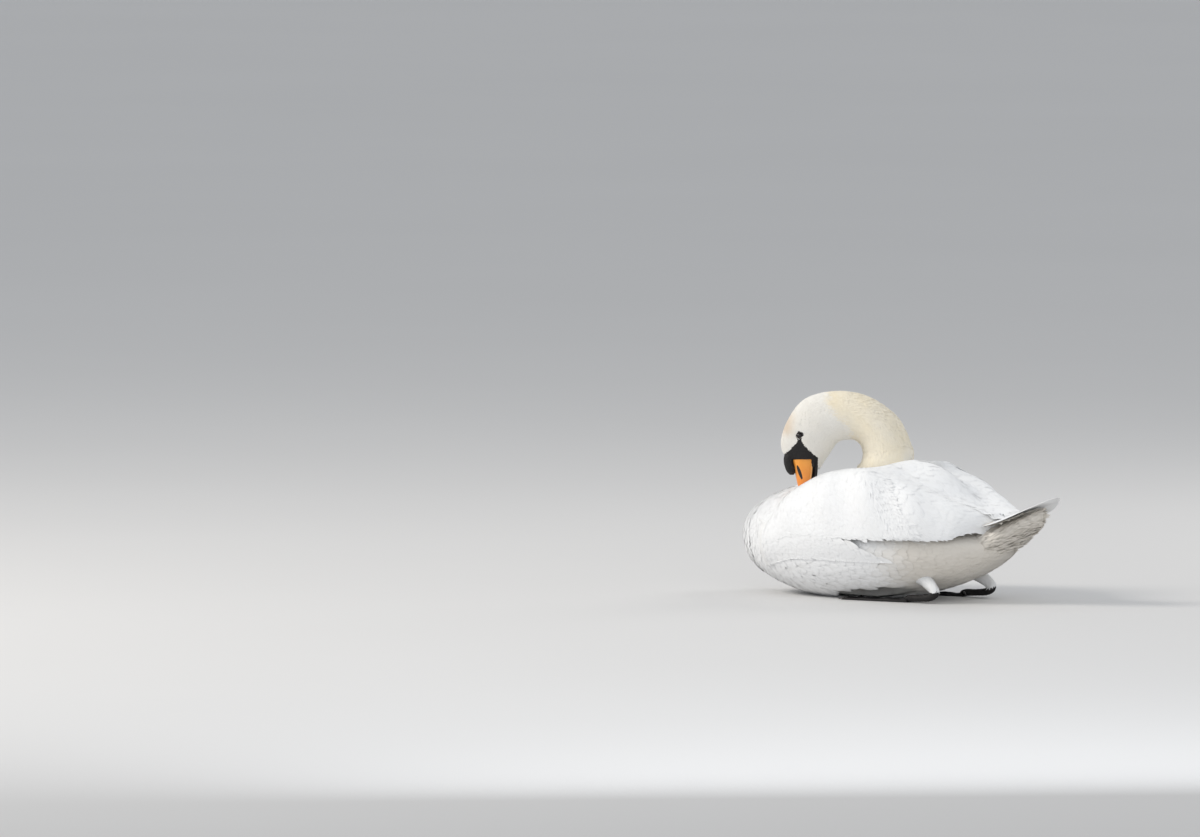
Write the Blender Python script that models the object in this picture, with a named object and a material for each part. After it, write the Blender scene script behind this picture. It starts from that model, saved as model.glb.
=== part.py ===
"""A mute swan resting on its belly and preening its left shoulder, life size, in metres.

The bill end of the trunk is towards -X, the bird's left side towards -Y, and +Z is up. The origin is the
middle of the flat under the belly. Heights called "afloat" are measured from the water that such a bird
would swim in, WATERLINE above the flat.
"""

import math

import bmesh
import bpy
import numpy as np

GAP = 0.0003  # air between neighbouring pieces
ROOM_SHARE = 2.0  # a cutter is larger than its piece by this many gaps
SHARPEST = 8.0  # the most that a cutter's point moves out, in those steps, at a sharp edge
CRUMB = 0.00002  # points of a cut edge closer than this are one
WATERLINE = 0.100  # draught of the floating bird

# Trunk
BREAST_X = -0.285  # foremost point of the breast
VENT_X = 0.330  # where the trunk ends under the tail
WIDEST_X = -0.030
HALF_WIDTH = 0.163
KEEL = 0.118  # depth of the round belly before its flat is cut, below the widest level
WIDEST_Z = 0.010  # the widest level, afloat
BREAST_RISE = 0.112  # height of the round breast over the widest level
BACK_RISE = 0.055  # height of the back, between the wings, over the widest level

# Wings, folded and held a little high
WING_FRONT_X = -0.150
WING_RIDGE_X = -0.165  # where the line of the ridge would meet the water
WING_END_X = 0.299
WING_PEAK_X = 0.075  # where the ridge of each wing is highest
WING_PEAK_Z = 0.152  # afloat
WING_HALF_WIDTH = 0.173  # of the pair
WING_HEM_Z = 0.027  # lower edge of the hanging scapulars, afloat
WING_DEPTH = 0.030  # thickness of the feathers and arm together
MOUND_X = 0.100  # where the feathers behind the neck, on the middle of the back, are highest
MOUND_Z = 0.162  # afloat
NECK_BED_END = {"left": 0.030, "right": 0.072}  # from here back each wing closes in behind the neck

# Neck and head: the arch lies in an upright plane that turns from the trunk's length to the left shoulder
ARCH_TURN = math.radians(38)
ARCH_SIDE = 0.004  # how far that plane passes the origin, towards the left

# Tail
TAIL_ROOT_X = 0.235
TAIL_TIP_X = 0.432
TAIL_ROOT_Z = 0.045  # afloat
TAIL_TIP_Z = 0.105
TAIL_HALF_WIDTH = 0.062
TAIL_ARCH = 2.0  # how fast its sides fall away, per metre of width squared
TAIL_FEATHERS = 12  # tips that show along the fan

EYE_RADIUS = 0.0062


# ---------------------------------------------------------------- small tools


def swell(t, power, root):
    """1 at t = 0, falling to 0 at t = 1 along a superellipse."""
    return np.clip(1 - np.abs(t) ** power, 0, 1) ** root


def ease(t):
    """0 below t = 0 and 1 above t = 1, with level ends."""
    t = np.clip(t, 0, 1)
    return t * t * (3 - 2 * t)


def through(stations, places):
    """Smooth curve (Catmull-Rom) through the rows of a table, read at places counted in rows."""
    rows = np.array(stations, float)
    rows = np.vstack([2 * rows[0] - rows[1], rows, 2 * rows[-1] - rows[-2]])
    places = np.asarray(places, float)
    start = np.clip(np.floor(places).astype(int), 0, len(rows) - 4)
    t = (places - start)[:, None]
    a, b, c, d = (rows[start + k] for k in range(4))
    return 0.5 * (2 * b + (c - a) * t + (2 * a - 5 * b + 4 * c - d) * t**2 + (3 * b - a - 3 * c + d) * t**3)


def upright_plane(back, rise, side=0.0):
    """Point of the arch's plane: back along it, rise above the water, side out to the head's left."""
    side = ARCH_SIDE + side
    x = back * math.cos(ARCH_TURN) + side * math.sin(ARCH_TURN)
    y = back * math.sin(ARCH_TURN) - side * math.cos(ARCH_TURN)
    return np.stack([x, y, rise + WATERLINE + 0 * x], axis=-1)


def collection(name, hidden=False):
    made = bpy.data.collections.new(name)
    bpy.context.scene.collection.children.link(made)
    made.hide_render = hidden
    return made


def material(name, colour, roughness):
    made = bpy.data.materials.new(name)
    made.use_nodes = True
    shader = made.node_tree.nodes["Principled BSDF"]
    shader.inputs["Base Color"].default_value = (*colour, 1)
    shader.inputs["Roughness"].default_value = roughness
    shader.inputs["Metallic"].default_value = 0.0
    return made


def add_mesh(name, points, faces, finish):
    """Mesh object of the swan's collection, with its faces turned outwards."""
    mesh = bpy.data.meshes.new(name)
    mesh.from_pydata([tuple(p) for p in points], [], faces)
    shaped = bmesh.new()
    shaped.from_mesh(mesh)
    bmesh.ops.triangulate(shaped, faces=shaped.faces)
    bmesh.ops.recalc_face_normals(shaped, faces=shaped.faces)
    shaped.to_mesh(mesh)
    shaped.free()
    mesh.shade_smooth()
    mesh.set_sharp_from_angle(angle=math.radians(50))
    mesh.materials.append(finish)
    made = bpy.data.objects.new(name, mesh)
    SWAN.objects.link(made)
    return made


def loft(name, rings, finish):
    """Closed skin over rings of equal count, each end closed by a fan to its middle."""
    rings = np.asarray(rings)
    count, around, _ = rings.shape
    points = np.vstack([rings.reshape(-1, 3), rings[0].mean(axis=0), rings[-1].mean(axis=0)])
    first_middle = count * around
    last_middle = first_middle + 1
    last_ring = (count - 1) * around
    faces = []
    for k in range(around):
        after = (k + 1) % around
        for ring in range(count - 1):
            low = ring * around
            high = low + around
            faces.append((low + k, low + after, high + after, high + k))
        faces.append((after, k, first_middle))
        faces.append((last_ring + k, last_ring + after, last_middle))
    return add_mesh(name, points, faces, finish)


def slab(name, upper, lower, finish):
    """Closed sheet with thickness: two grids of points, and a rim that joins their edges."""
    upper = np.asarray(upper)
    rows, columns, _ = upper.shape
    points = np.vstack([upper.reshape(-1, 3), np.asarray(lower).reshape(-1, 3)])
    under = rows * columns
    faces = []
    for row in range(rows - 1):
        for column in range(columns - 1):
            near = row * columns + column
            far = near + columns
            faces.append((near, near + 1, far + 1, far))
            faces.append((under + near, under + far, under + far + 1, under + near + 1))
    rim = list(range(columns))
    rim += [row * columns + columns - 1 for row in range(1, rows)]
    rim += [(rows - 1) * columns + column for column in range(columns - 2, -1, -1)]
    rim += [row * columns for row in range(rows - 2, 0, -1)]
    for here, after in zip(rim, rim[1:] + rim[:1]):
        faces.append((here, after, under + after, under + here))
    return add_mesh(name, points, faces, finish)


def largest_body(shaped):
    """The faces of the biggest body of a bmesh, a body being joined edge to edge."""
    waiting = set(shaped.faces)
    best = []
    while waiting:
        front = [waiting.pop()]
        body = list(front)
        while front:
            for edge in front.pop().edges:
                for face in edge.link_faces:
                    if face in waiting:
                        waiting.remove(face)
                        front.append(face)
                        body.append(face)
        if len(body) > len(best):
            best = body
    return set(best)


def room_for(piece):
    """A cutter: the piece's own uncut shape, every face moved out by about the gap."""
    grown = bmesh.new()
    grown.from_mesh(piece.data)
    grown.normal_update()
    step = GAP * ROOM_SHARE / max(piece.scale)
    moves = [vertex.normal * step * min(vertex.calc_shell_factor(), SHARPEST) for vertex in grown.verts]
    for vertex, move in zip(grown.verts, moves):
        vertex.co += move
    room = piece.copy()
    room.data = piece.data.copy()
    grown.to_mesh(room.data)
    grown.free()
    room.name = f"room_for_{piece.name}"
    CUTTERS.objects.link(room)
    room.hide_render = True
    room.display_type = "WIRE"
    return room


def clear_of(piece, *rooms):
    """Cuts the rooms of its neighbours from a piece, and drops the crumbs."""
    for room in rooms:
        cut = piece.modifiers.new(room.name, "BOOLEAN")
        cut.operation = "DIFFERENCE"
        cut.object = room
    bpy.context.view_layer.update()
    cut_piece = piece.evaluated_get(bpy.context.evaluated_depsgraph_get())
    solid = bpy.data.meshes.new_from_object(cut_piece)
    shaped = bmesh.new()
    shaped.from_mesh(solid)
    bmesh.ops.remove_doubles(shaped, verts=shaped.verts, dist=CRUMB)
    kept = largest_body(shaped)
    crumbs = [face for face in shaped.faces if face not in kept]
    bmesh.ops.delete(shaped, geom=crumbs, context="FACES")
    shaped.to_mesh(solid)
    shaped.free()
    piece.modifiers.clear()
    piece.data = solid


# ---------------------------------------------------------------- trunk


def trunk(finish):
    """Ellipsoid breast running into a lower back, cut level under the belly."""
    turn = np.linspace(0, math.pi, 24)
    x = (BREAST_X + VENT_X) / 2 - (VENT_X - BREAST_X) / 2 * np.cos(turn) * 0.9999
    around = np.linspace(0, 2 * math.pi, 24, endpoint=False)
    front = swell((WIDEST_X - x) / (WIDEST_X - BREAST_X), 2.0, 0.5)
    rear = (x - WIDEST_X) / (VENT_X - WIDEST_X)
    saddle = ease((x + 0.17) / 0.10)
    rise = BREAST_RISE + (BACK_RISE - BREAST_RISE) * saddle
    rise *= np.where(x < WIDEST_X, front, swell(rear, 2.2, 0.6))
    drop = KEEL * np.where(x < WIDEST_X, front, swell(rear, 1.9, 0.75))
    width = HALF_WIDTH * np.where(x < WIDEST_X, front, swell(rear, 2.3, 0.62))
    across = np.sign(np.cos(around)) * np.abs(np.cos(around)) ** 0.93
    upright = np.sign(np.sin(around)) * np.abs(np.sin(around)) ** 0.93
    y = width[:, None] * across
    z = WIDEST_Z + np.where(upright > 0, rise[:, None], drop[:, None]) * upright
    z = np.maximum(z + WATERLINE, 0.0)
    rings = np.stack([x[:, None] + 0 * y, y, z], axis=-1)
    return loft("trunk", rings, finish)


# ---------------------------------------------------------------- wings


def wing_ridge(x):
    """Height of the wing's ridge, afloat."""
    front = swell((WING_PEAK_X - x) / (WING_PEAK_X - WING_RIDGE_X), 2.1, 0.52)
    back = 1 - 0.58 * (np.clip(x - WING_PEAK_X, 0, 1) / 0.24) ** 1.15
    return WING_PEAK_Z * np.where(x < WING_PEAK_X, front, back)


def wing_side(x):
    """Greatest half width of the pair at a place along the trunk."""
    front = swell(x / 0.305, 2.2, 0.5)
    back = swell(x / (WING_END_X + 0.012), 2.4, 0.5)
    return WING_HALF_WIDTH * np.where(x < 0, front, back)


def back_mound(x, ridge):
    """Height of the middle of the back, afloat: a mound behind the neck that runs out into the ridge's line."""
    before = 0.35 * (np.clip(MOUND_X - x, 0, 1) / 0.10) ** 2
    behind = 0.62 * (np.clip(x - MOUND_X, 0, 1) / 0.24) ** 1.4
    share = 1 - ease((x - 0.15) / 0.11)
    return share * MOUND_Z * (1 - before - behind) + (1 - share) * 0.90 * ridge


def wing(side_name, hand, finish):
    """One folded wing with its scapulars: hem, side, ridge and inner slope, with a lining inside them."""
    x = np.linspace(WING_FRONT_X, WING_END_X, 21)
    ridge = wing_ridge(x)
    side = wing_side(x)
    crest = 0.64 * side
    scallop = 0.005 * np.abs(np.sin(math.pi * x / 0.041)) * ease((x - 0.02) / 0.05)
    hem = WING_HEM_Z * ease((x + 0.2) / 0.14) - scallop + 0.030 * ease((x - 0.24) / 0.07)
    parted = 1 - ease((x - NECK_BED_END[side_name]) / 0.042)
    inner_y = 0.0012 + 0.0595 * parted
    inner_z = 0.64 * ridge * parted + back_mound(x, ridge) * (1 - parted)
    furrow = 0.010 * (1 - parted) * ease((x - 0.08) / 0.05) * (1 - ease((x - 0.20) / 0.08))
    outside = []
    inside = []
    up = np.linspace(0, math.pi / 2, 7)
    slope = np.linspace(0, 1, 5)[1:]
    for k in range(len(x)):
        outer_y = crest[k] + (side[k] - crest[k]) * np.cos(up) ** 0.8
        outer_z = hem[k] + (ridge[k] - hem[k]) * np.sin(up)
        fall = (1 - np.cos(math.pi * slope)) / 2
        slope_y = crest[k] + (inner_y[k] - crest[k]) * slope
        slope_z = ridge[k] + (inner_z[k] - ridge[k]) * fall
        slope_z -= furrow[k] * np.sin(math.pi * slope) ** 2
        y = np.concatenate([outer_y, slope_y])
        z = np.concatenate([outer_z, slope_z])
        middle_y = 0.62 * crest[k] + 0.38 * inner_y[k]
        middle_z = 0.5 * hem[k] + 0.2 * ridge[k]
        reach = np.hypot(y - middle_y, z - middle_z)
        along = np.linspace(0, 1, len(y))
        taper = (1 - 0.72 * ease((x[k] - 0.17) / 0.14)) * (0.4 + 0.6 * ease((x[k] + 0.15) / 0.08))
        depth = WING_DEPTH * taper * (0.30 + 0.70 * np.sin(math.pi * along) ** 0.6)
        share = np.minimum(depth / reach, 0.6)
        back_y = y + (middle_y - y) * share
        back_z = z + (middle_z - z) * share
        outside.append(np.stack([x[k] + 0 * y, hand * y, z + WATERLINE], axis=-1))
        inside.append(np.stack([x[k] + 0 * y, hand * back_y, back_z + WATERLINE], axis=-1))
    return slab(f"wing_{side_name}", outside, inside, finish)


# ---------------------------------------------------------------- tail


def tail_line(x):
    """Height of the tail's middle, afloat: level at the root, lifting to the tip."""
    t = np.maximum(x - TAIL_ROOT_X, 0) / (TAIL_TIP_X - TAIL_ROOT_X)
    return TAIL_ROOT_Z + (TAIL_TIP_Z - TAIL_ROOT_Z) * t**1.5


def tail(finish):
    """Fan of stiff feathers: wedge-shaped, slightly arched across, its edge scalloped by the tips."""
    along = np.linspace(0, 1, 6)
    spread = np.linspace(-1, 1, 2 * TAIL_FEATHERS + 1)
    tips = 0.006 * np.abs(np.cos(math.pi * TAIL_FEATHERS * (spread + 1) / 2))
    length = (TAIL_TIP_X - TAIL_ROOT_X) - 0.050 * np.abs(spread) ** 1.7 - 0.006 + tips
    x = TAIL_ROOT_X + along[:, None] * length
    fan = 0.030 + (TAIL_HALF_WIDTH - 0.030) * along**0.8
    y = fan[:, None] * spread
    middle = tail_line(x) - TAIL_ARCH * y**2 + WATERLINE
    thick = 0.0028 - 0.0018 * along[:, None] + 0 * y
    covert = 0.005 * np.clip(1 - 1.6 * along[:, None], 0, 1) * (1 - spread**2)
    top = np.stack([x, y, middle + thick + covert], axis=-1)
    under = np.stack([x, y, middle - thick], axis=-1)
    return slab("tail", top, under, finish)


def coverts(name, x, half, roof, sole, finish):
    """Soft feathers round the tail's root: oval sections between a roof and a sole height, afloat."""
    around = np.linspace(0, 2 * math.pi, 18, endpoint=False)
    level = ((roof + sole) / 2)[:, None]
    y = half[:, None] * np.cos(around)
    z = level + ((roof - sole) / 2)[:, None] * np.sin(around) + WATERLINE
    rings = np.stack([x[:, None] + 0 * y, y, z], axis=-1)
    return loft(name, rings, finish)


def undertail(finish):
    t = np.sin(np.linspace(0, math.pi / 2, 11))
    x = 0.262 + 0.130 * t
    half = 0.056 * swell(t, 2.1, 0.60) + 0.002
    sole = -0.018 + 0.100 * ease(t * 0.64 + 0.02) ** 1.05
    roof = tail_line(x) - 0.009
    return coverts("undertail", x, half, roof, np.minimum(sole, roof - 0.003), finish)


# ---------------------------------------------------------------- neck and head

# The neck's middle line from breast to arch, with its half depth and half width: the lower neck lies
# along the back between the wings, then turns up into the arch's plane.
LOWER_NECK = (
    # x, y, height afloat, half depth, half width
    (-0.225, 0.000, 0.036, 0.052, 0.056),
    (-0.165, 0.000, 0.067, 0.052, 0.052),
    (-0.100, 0.002, 0.079, 0.048, 0.047),
    (-0.042, 0.006, 0.088, 0.047, 0.044),
    (0.000, 0.010, 0.115, 0.047, 0.042),
)

# The arch and the head, by the outer line (nape, crown, forehead) and the inner line (throat, chin).
UPPER_NECK = (
    # outer: back, height; inner: back, height; half width
    (0.074, 0.162, -0.028, 0.148, 0.041),
    (0.069, 0.190, -0.021, 0.171, 0.040),
    (0.047, 0.236, -0.026, 0.188, 0.039),
    (0.006, 0.270, -0.035, 0.196, 0.037),
    (-0.030, 0.285, -0.047, 0.198, 0.035),
    (-0.066, 0.289, -0.059, 0.197, 0.034),
    (-0.103, 0.285, -0.067, 0.194, 0.034),
    (-0.137, 0.270, -0.073, 0.189, 0.034),
    (-0.163, 0.235, -0.079, 0.180, 0.032),
    (-0.176, 0.198, -0.087, 0.167, 0.027),
    (-0.173, 0.172, -0.096, 0.154, 0.0215),
    (-0.165, 0.164, -0.104, 0.140, 0.0185),
)
NECK_ROWS = len(LOWER_NECK) + len(UPPER_NECK)
HEAD_START = 9.55  # rows of the joined table at which the neck's lengths meet
MIDDLE_START = 3.5
UPPER_START = 6.5


def neck_rows():
    """Both tables in one form: middle point, direction to the outer side, half depth, half width."""
    middle = []
    for x, y, height, _, _ in LOWER_NECK:
        middle.append((x, y, height + WATERLINE))
    depth = [row[3] for row in LOWER_NECK]
    width = [row[4] for row in LOWER_NECK]
    outward = [(-0.5, 0, -0.87), (-0.3, 0, -0.95), (-0.1, 0, -1), (0.32, 0.05, -0.94), (0.72, 0.3, -0.62)]
    for outer_back, outer_z, inner_back, inner_z, half in UPPER_NECK:
        outer = upright_plane(outer_back, outer_z)
        inner = upright_plane(inner_back, inner_z)
        middle.append(tuple((outer + inner) / 2))
        outward.append(tuple((outer - inner) / np.linalg.norm(outer - inner)))
        depth.append(np.linalg.norm(outer - inner) / 2)
        width.append(half)
    return np.column_stack([middle, outward, depth, width])


def neck_section(places, count=18, egg=0.0):
    """Oval rings at places along the neck and head, narrower at the outer side by the egg share."""
    rows = through(neck_rows(), places)
    nudge = 0.02
    after = through(neck_rows(), np.asarray(places) + nudge)[:, :3]
    forward = after - through(neck_rows(), np.asarray(places) - nudge)[:, :3]
    forward /= np.linalg.norm(forward, axis=1)[:, None]
    outward = rows[:, 3:6]
    side = np.cross(forward, outward)
    side /= np.linalg.norm(side, axis=1)[:, None]
    outward = outward / np.linalg.norm(outward, axis=1)[:, None]
    around = np.linspace(0, 2 * math.pi, count, endpoint=False)
    deep = rows[:, 6][:, None] * np.cos(around)
    wide = rows[:, 7][:, None] * np.sin(around) * (1 - egg * np.cos(around))
    return rows[:, None, :3] + deep[..., None] * outward[:, None] + wide[..., None] * side[:, None]


def neck_length(name, start, end, count, finish):
    """One length of the neck, held clear of the next by the gap."""
    places = np.linspace(start, end, count)
    rings = neck_section(places)
    shrink = GAP / np.linalg.norm(rings[1].mean(axis=0) - rings[0].mean(axis=0)) / 2
    first = rings[0] + (rings[1] - rings[0]) * shrink
    last = rings[-1] + (rings[-2] - rings[-1]) * shrink
    return loft(name, np.concatenate([first[None], rings[1:-1], last[None]]), finish)


def head(finish):
    places = np.linspace(HEAD_START, NECK_ROWS - 1, 13)
    rings = neck_section(places, 18, 0.10)
    rings[0] = neck_section(places[:1], 18)[0]
    rings[0] += (rings[1].mean(axis=0) - rings[0].mean(axis=0)) * 0.05
    return loft("head", rings, finish)


BILL_UPPER = (
    # culmen: back, height; cutting edge: back, height; half width
    (-0.157, 0.165, -0.111, 0.148, 0.0178),
    (-0.150, 0.147, -0.112, 0.135, 0.0170),
    (-0.1485, 0.130, -0.1135, 0.122, 0.0158),
    (-0.145, 0.110, -0.116, 0.106, 0.0152),
    (-0.140, 0.092, -0.1195, 0.090, 0.0150),
    (-0.135, 0.080, -0.1225, 0.078, 0.0130),
    (-0.131, 0.0735, -0.1255, 0.0725, 0.0070),
)
BILL_LOWER = (
    (-0.1100, 0.1435, -0.1035, 0.1400, 0.0150),
    (-0.1125, 0.1260, -0.1060, 0.1240, 0.0145),
    (-0.1148, 0.1080, -0.1090, 0.1070, 0.0138),
    (-0.1180, 0.0920, -0.1135, 0.0915, 0.0130),
    (-0.1212, 0.0810, -0.1180, 0.0800, 0.0100),
    (-0.1236, 0.0760, -0.1222, 0.0755, 0.0050),
)


def bill_half(name, stations, boxy, finish):
    """Half of the bill: flattened oval rings between its upper and its lower line."""
    rows = through(stations, np.linspace(0, len(stations) - 1, 10))
    around = np.linspace(0, 2 * math.pi, 14, endpoint=False)
    rings = []
    for outer_back, outer_z, inner_back, inner_z, half in rows:
        outer = upright_plane(outer_back, outer_z)
        inner = upright_plane(inner_back, inner_z)
        deep = (outer - inner) / 2
        up = np.sign(np.cos(around)) * np.abs(np.cos(around)) ** boxy
        wide = half * np.sign(np.sin(around)) * np.abs(np.sin(around)) ** boxy
        side = np.array([math.sin(ARCH_TURN), -math.cos(ARCH_TURN), 0])
        rings.append((outer + inner) / 2 + up[:, None] * deep + wide[:, None] * side)
    return loft(name, rings, finish)


def ball(name, centre, radius, size, turn, finish):
    """UV sphere, scaled and turned about the upright and the level axes."""
    bpy.ops.mesh.primitive_uv_sphere_add(segments=12, ring_count=8, radius=radius, location=centre)
    made = bpy.context.object
    made.name = name
    made.data.name = name
    made.scale = size
    made.rotation_euler = turn
    made.data.shade_smooth()
    if finish:
        made.data.materials.append(finish)
    for owner in list(made.users_collection):
        owner.objects.unlink(made)
    SWAN.objects.link(made)
    return made


def knob(finish):
    """Fleshy lobe over the bill's root."""
    centre = upright_plane(-0.1585, 0.1515)
    return ball("knob", tuple(centre), 0.0125, (1.0, 1.0, 1.72), (0, math.radians(8), ARCH_TURN), finish)


def eye(name, hand, finish):
    centre = upright_plane(-0.143, 0.206, hand * 0.0235)
    return ball(name, tuple(centre), EYE_RADIUS, (1, 1, 1), (0, 0, 0), finish)


# ---------------------------------------------------------------- legs

FOOT_LENGTH = 0.150
FOOT_HEEL_X = 0.150
FOOT_HALF = 0.030
FOOT_Y = 0.088


def foot(name, hand, finish):
    """Folded web with three toes, flat on the ground, its toes ahead."""
    t = np.linspace(0, 1, 6)
    across = np.linspace(-1, 1, 13)
    reach = FOOT_LENGTH - 0.012 * (1 - np.abs(np.cos(math.pi * across)))
    x = FOOT_HEEL_X - t[:, None] * reach
    half = 0.007 + (FOOT_HALF - 0.007) * t**0.8
    y = FOOT_Y + half[:, None] * across
    toes = np.abs(np.cos(math.pi * across)) ** 3
    top = 0.0022 + (0.0066 - 0.0028 * t[:, None]) * toes + 0.004 * (1 - t[:, None]) ** 2
    upper = np.stack([x, hand * y, top], axis=-1)
    lower = np.stack([x, hand * y, 0 * top], axis=-1)
    return slab(name, upper, lower, finish)


def foot_bed(name, hand):
    """Cutter: the shallow oval hollow in the belly feathers that a foot lies in."""
    middle = (FOOT_HEEL_X - FOOT_LENGTH / 2, hand * FOOT_Y, 0.0)
    bed = ball(name, middle, 1.0, (0.82 * FOOT_LENGTH, 1.55 * FOOT_HALF, 0.024), (0, 0, 0), None)
    SWAN.objects.unlink(bed)
    CUTTERS.objects.link(bed)
    bed.hide_render = True
    bed.display_type = "WIRE"
    return bed


def leg(name, hand, finish):
    """Shank from the belly down to the heel, and forward along the ground to the foot."""
    curve = bpy.data.curves.new(name, "CURVE")
    curve.dimensions = "3D"
    curve.bevel_depth = 0.0085
    curve.bevel_resolution = 2
    curve.use_fill_caps = True
    curve.resolution_u = 4
    line = curve.splines.new("BEZIER")
    route = (
        (0.170, 0.080, 0.048, 1.35),
        (0.212, 0.089, 0.026, 1.20),
        (0.198, 0.091, 0.0105, 1.00),
        (0.1530, 0.088, 0.0085, 0.88),
    )
    line.bezier_points.add(len(route) - 1)
    for point, (x, y, z, size) in zip(line.bezier_points, route):
        point.co = (x, hand * y, z)
        point.radius = size
        point.handle_left_type = "AUTO"
        point.handle_right_type = "AUTO"
    guide = bpy.data.objects.new(f"{name}_line", curve)
    SWAN.objects.link(guide)
    solid = bpy.data.meshes.new_from_object(guide.evaluated_get(bpy.context.evaluated_depsgraph_get()))
    bpy.data.objects.remove(guide)
    shaped = bmesh.new()
    shaped.from_mesh(solid)
    bmesh.ops.remove_doubles(shaped, verts=shaped.verts, dist=0.00001)
    for vertex in shaped.verts:
        vertex.co.z = max(vertex.co.z, 0.0)
    bmesh.ops.recalc_face_normals(shaped, faces=shaped.faces)
    shaped.to_mesh(solid)
    shaped.free()
    solid.name = name
    solid.shade_smooth()
    solid.materials.clear()
    solid.materials.append(finish)
    made = bpy.data.objects.new(name, solid)
    SWAN.objects.link(made)
    return made


# ---------------------------------------------------------------- the swan


def build():
    plumage = material("white plumage", (0.86, 0.86, 0.84), 0.8)
    cream = material("cream plumage", (0.88, 0.80, 0.62), 0.8)
    orange = material("orange bill", (0.85, 0.30, 0.05), 0.4)
    black = material("black bare skin", (0.015, 0.014, 0.014), 0.5)
    dark_eye = material("dark eye", (0.02, 0.012, 0.01), 0.08)

    body = trunk(plumage)
    lower = neck_length("neck_lower", 0, MIDDLE_START, 9, cream)
    middle = neck_length("neck_middle", MIDDLE_START, UPPER_START, 8, cream)
    upper = neck_length("neck_upper", UPPER_START, HEAD_START, 8, cream)
    skull = head(plumage)
    bill_top = bill_half("bill_upper", BILL_UPPER, 0.8, orange)
    bill_bottom = bill_half("bill_lower", BILL_LOWER, 0.8, black)
    lobe = knob(black)
    fan = tail(plumage)
    under = undertail(plumage)
    bill_rooms = [room_for(bill_top), room_for(bill_bottom)]
    fan_room = room_for(fan)
    clear_of(lobe, room_for(skull), bill_rooms[0])
    clear_of(bill_bottom, bill_rooms[0])
    clear_of(skull, *bill_rooms)
    under_room = room_for(under)
    clear_of(under, fan_room)
    for side, hand in (("left", -1), ("right", 1)):
        clear_of(skull, room_for(eye(f"eye_{side}", -hand, dark_eye)))
        folded = wing(side, hand, plumage)
        wing_room = room_for(folded)
        clear_of(folded, fan_room)
        if side == "left":
            clear_of(folded, *bill_rooms)
        clear_of(body, wing_room)
        foot(f"foot_{side}", hand, black)
        clear_of(body, foot_bed(f"bed_for_foot_{side}", hand))
        clear_of(body, room_for(leg(f"leg_{side}", hand, black)))
    for room in (room_for(lower), room_for(middle), *bill_rooms, fan_room, under_room):
        clear_of(body, room)


for leftover in list(bpy.data.objects):
    bpy.data.objects.remove(leftover)
SWAN = collection("mute_swan")
CUTTERS = collection("cutters", hidden=True)
build()
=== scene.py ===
"""The looks of a mute swan resting on its belly and preening: one skin, a coat of modelled feathers over it,
and the bill, the bare black skin, the eyes and the feet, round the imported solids. Metres, +Z up, the breast
towards -X and the bird's left side towards -Y.
"""

import math

import bmesh
import bpy
import numpy as np
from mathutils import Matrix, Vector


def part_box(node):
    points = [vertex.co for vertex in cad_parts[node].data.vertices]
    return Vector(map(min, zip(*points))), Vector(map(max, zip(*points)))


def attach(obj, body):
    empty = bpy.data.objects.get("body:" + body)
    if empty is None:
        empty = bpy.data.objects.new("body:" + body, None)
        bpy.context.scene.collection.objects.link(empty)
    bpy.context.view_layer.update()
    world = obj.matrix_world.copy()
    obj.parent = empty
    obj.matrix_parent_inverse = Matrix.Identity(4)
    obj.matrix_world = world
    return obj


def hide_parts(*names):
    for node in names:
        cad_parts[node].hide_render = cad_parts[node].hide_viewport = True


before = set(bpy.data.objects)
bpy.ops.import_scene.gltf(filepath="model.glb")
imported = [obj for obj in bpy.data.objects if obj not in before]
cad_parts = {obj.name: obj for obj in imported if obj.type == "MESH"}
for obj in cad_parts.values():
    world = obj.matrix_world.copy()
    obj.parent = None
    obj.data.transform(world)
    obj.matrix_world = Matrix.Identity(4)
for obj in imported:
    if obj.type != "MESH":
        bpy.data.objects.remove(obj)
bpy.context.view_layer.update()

# ---------------------------------------------------------------- sizes taken from the frame

TRUNK_LOW, TRUNK_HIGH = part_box("trunk")
WING_LOW, WING_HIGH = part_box("wing_left")
TAIL_LOW, TAIL_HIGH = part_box("tail")
EYE_LOW, EYE_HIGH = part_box("eye_left")
WATERLINE = 0.100  # heights called "afloat" are over this level
BREAST_X = TRUNK_LOW[0]
VENT_X = TRUNK_HIGH[0]
WIDEST_X = -0.030
HALF_WIDTH = 0.163
KEEL = 0.118
WIDEST_Z = 0.010
BREAST_RISE = 0.112
BACK_RISE = 0.055
WING_FRONT_X = WING_LOW[0]
WING_END_X = WING_HIGH[0]
WING_RIDGE_X = -0.165
WING_PEAK_X = 0.075
WING_PEAK_Z = 0.152
MOUND_X = 0.100
MOUND_Z = WING_HIGH[2] - WATERLINE  # top of the back, behind the neck
NECK_BED_END = {-1: 0.030, 1: 0.072}  # from here back the left and the right wing close in behind the neck
WING_HALF_WIDTH = -WING_LOW[1]
WING_HEM_Z = 0.027
WING_LAP_X = -0.188  # the wing's first feathers lie on the breast here,
WING_LAP = 0.046  # rise on to the wing over this length
WING_LAP_GAP = 0.004  # and keep this far over the flank
WING_FIRST = -0.078  # and this is their place along the wing, ahead of its front
WING_FOLD = 0.0042  # height of the soft folds over the wing
TAIL_ROOT_X = TAIL_LOW[0]
TAIL_TIP_X = TAIL_HIGH[0]
TAIL_ROOT_Z = 0.045
TAIL_TIP_Z = 0.105
TAIL_HALF_WIDTH = TAIL_HIGH[1]
TAIL_ARCH = 2.0  # how fast its sides fall away, per metre of width squared
ARCH_TURN = math.radians(38)  # the head's upright plane, from the trunk's length
ARCH_SIDE = 0.004
EYE_RADIUS = (EYE_HIGH[2] - EYE_LOW[2]) / 2
EYE_PLACE = np.array((EYE_LOW + EYE_HIGH) / 2)
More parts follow.
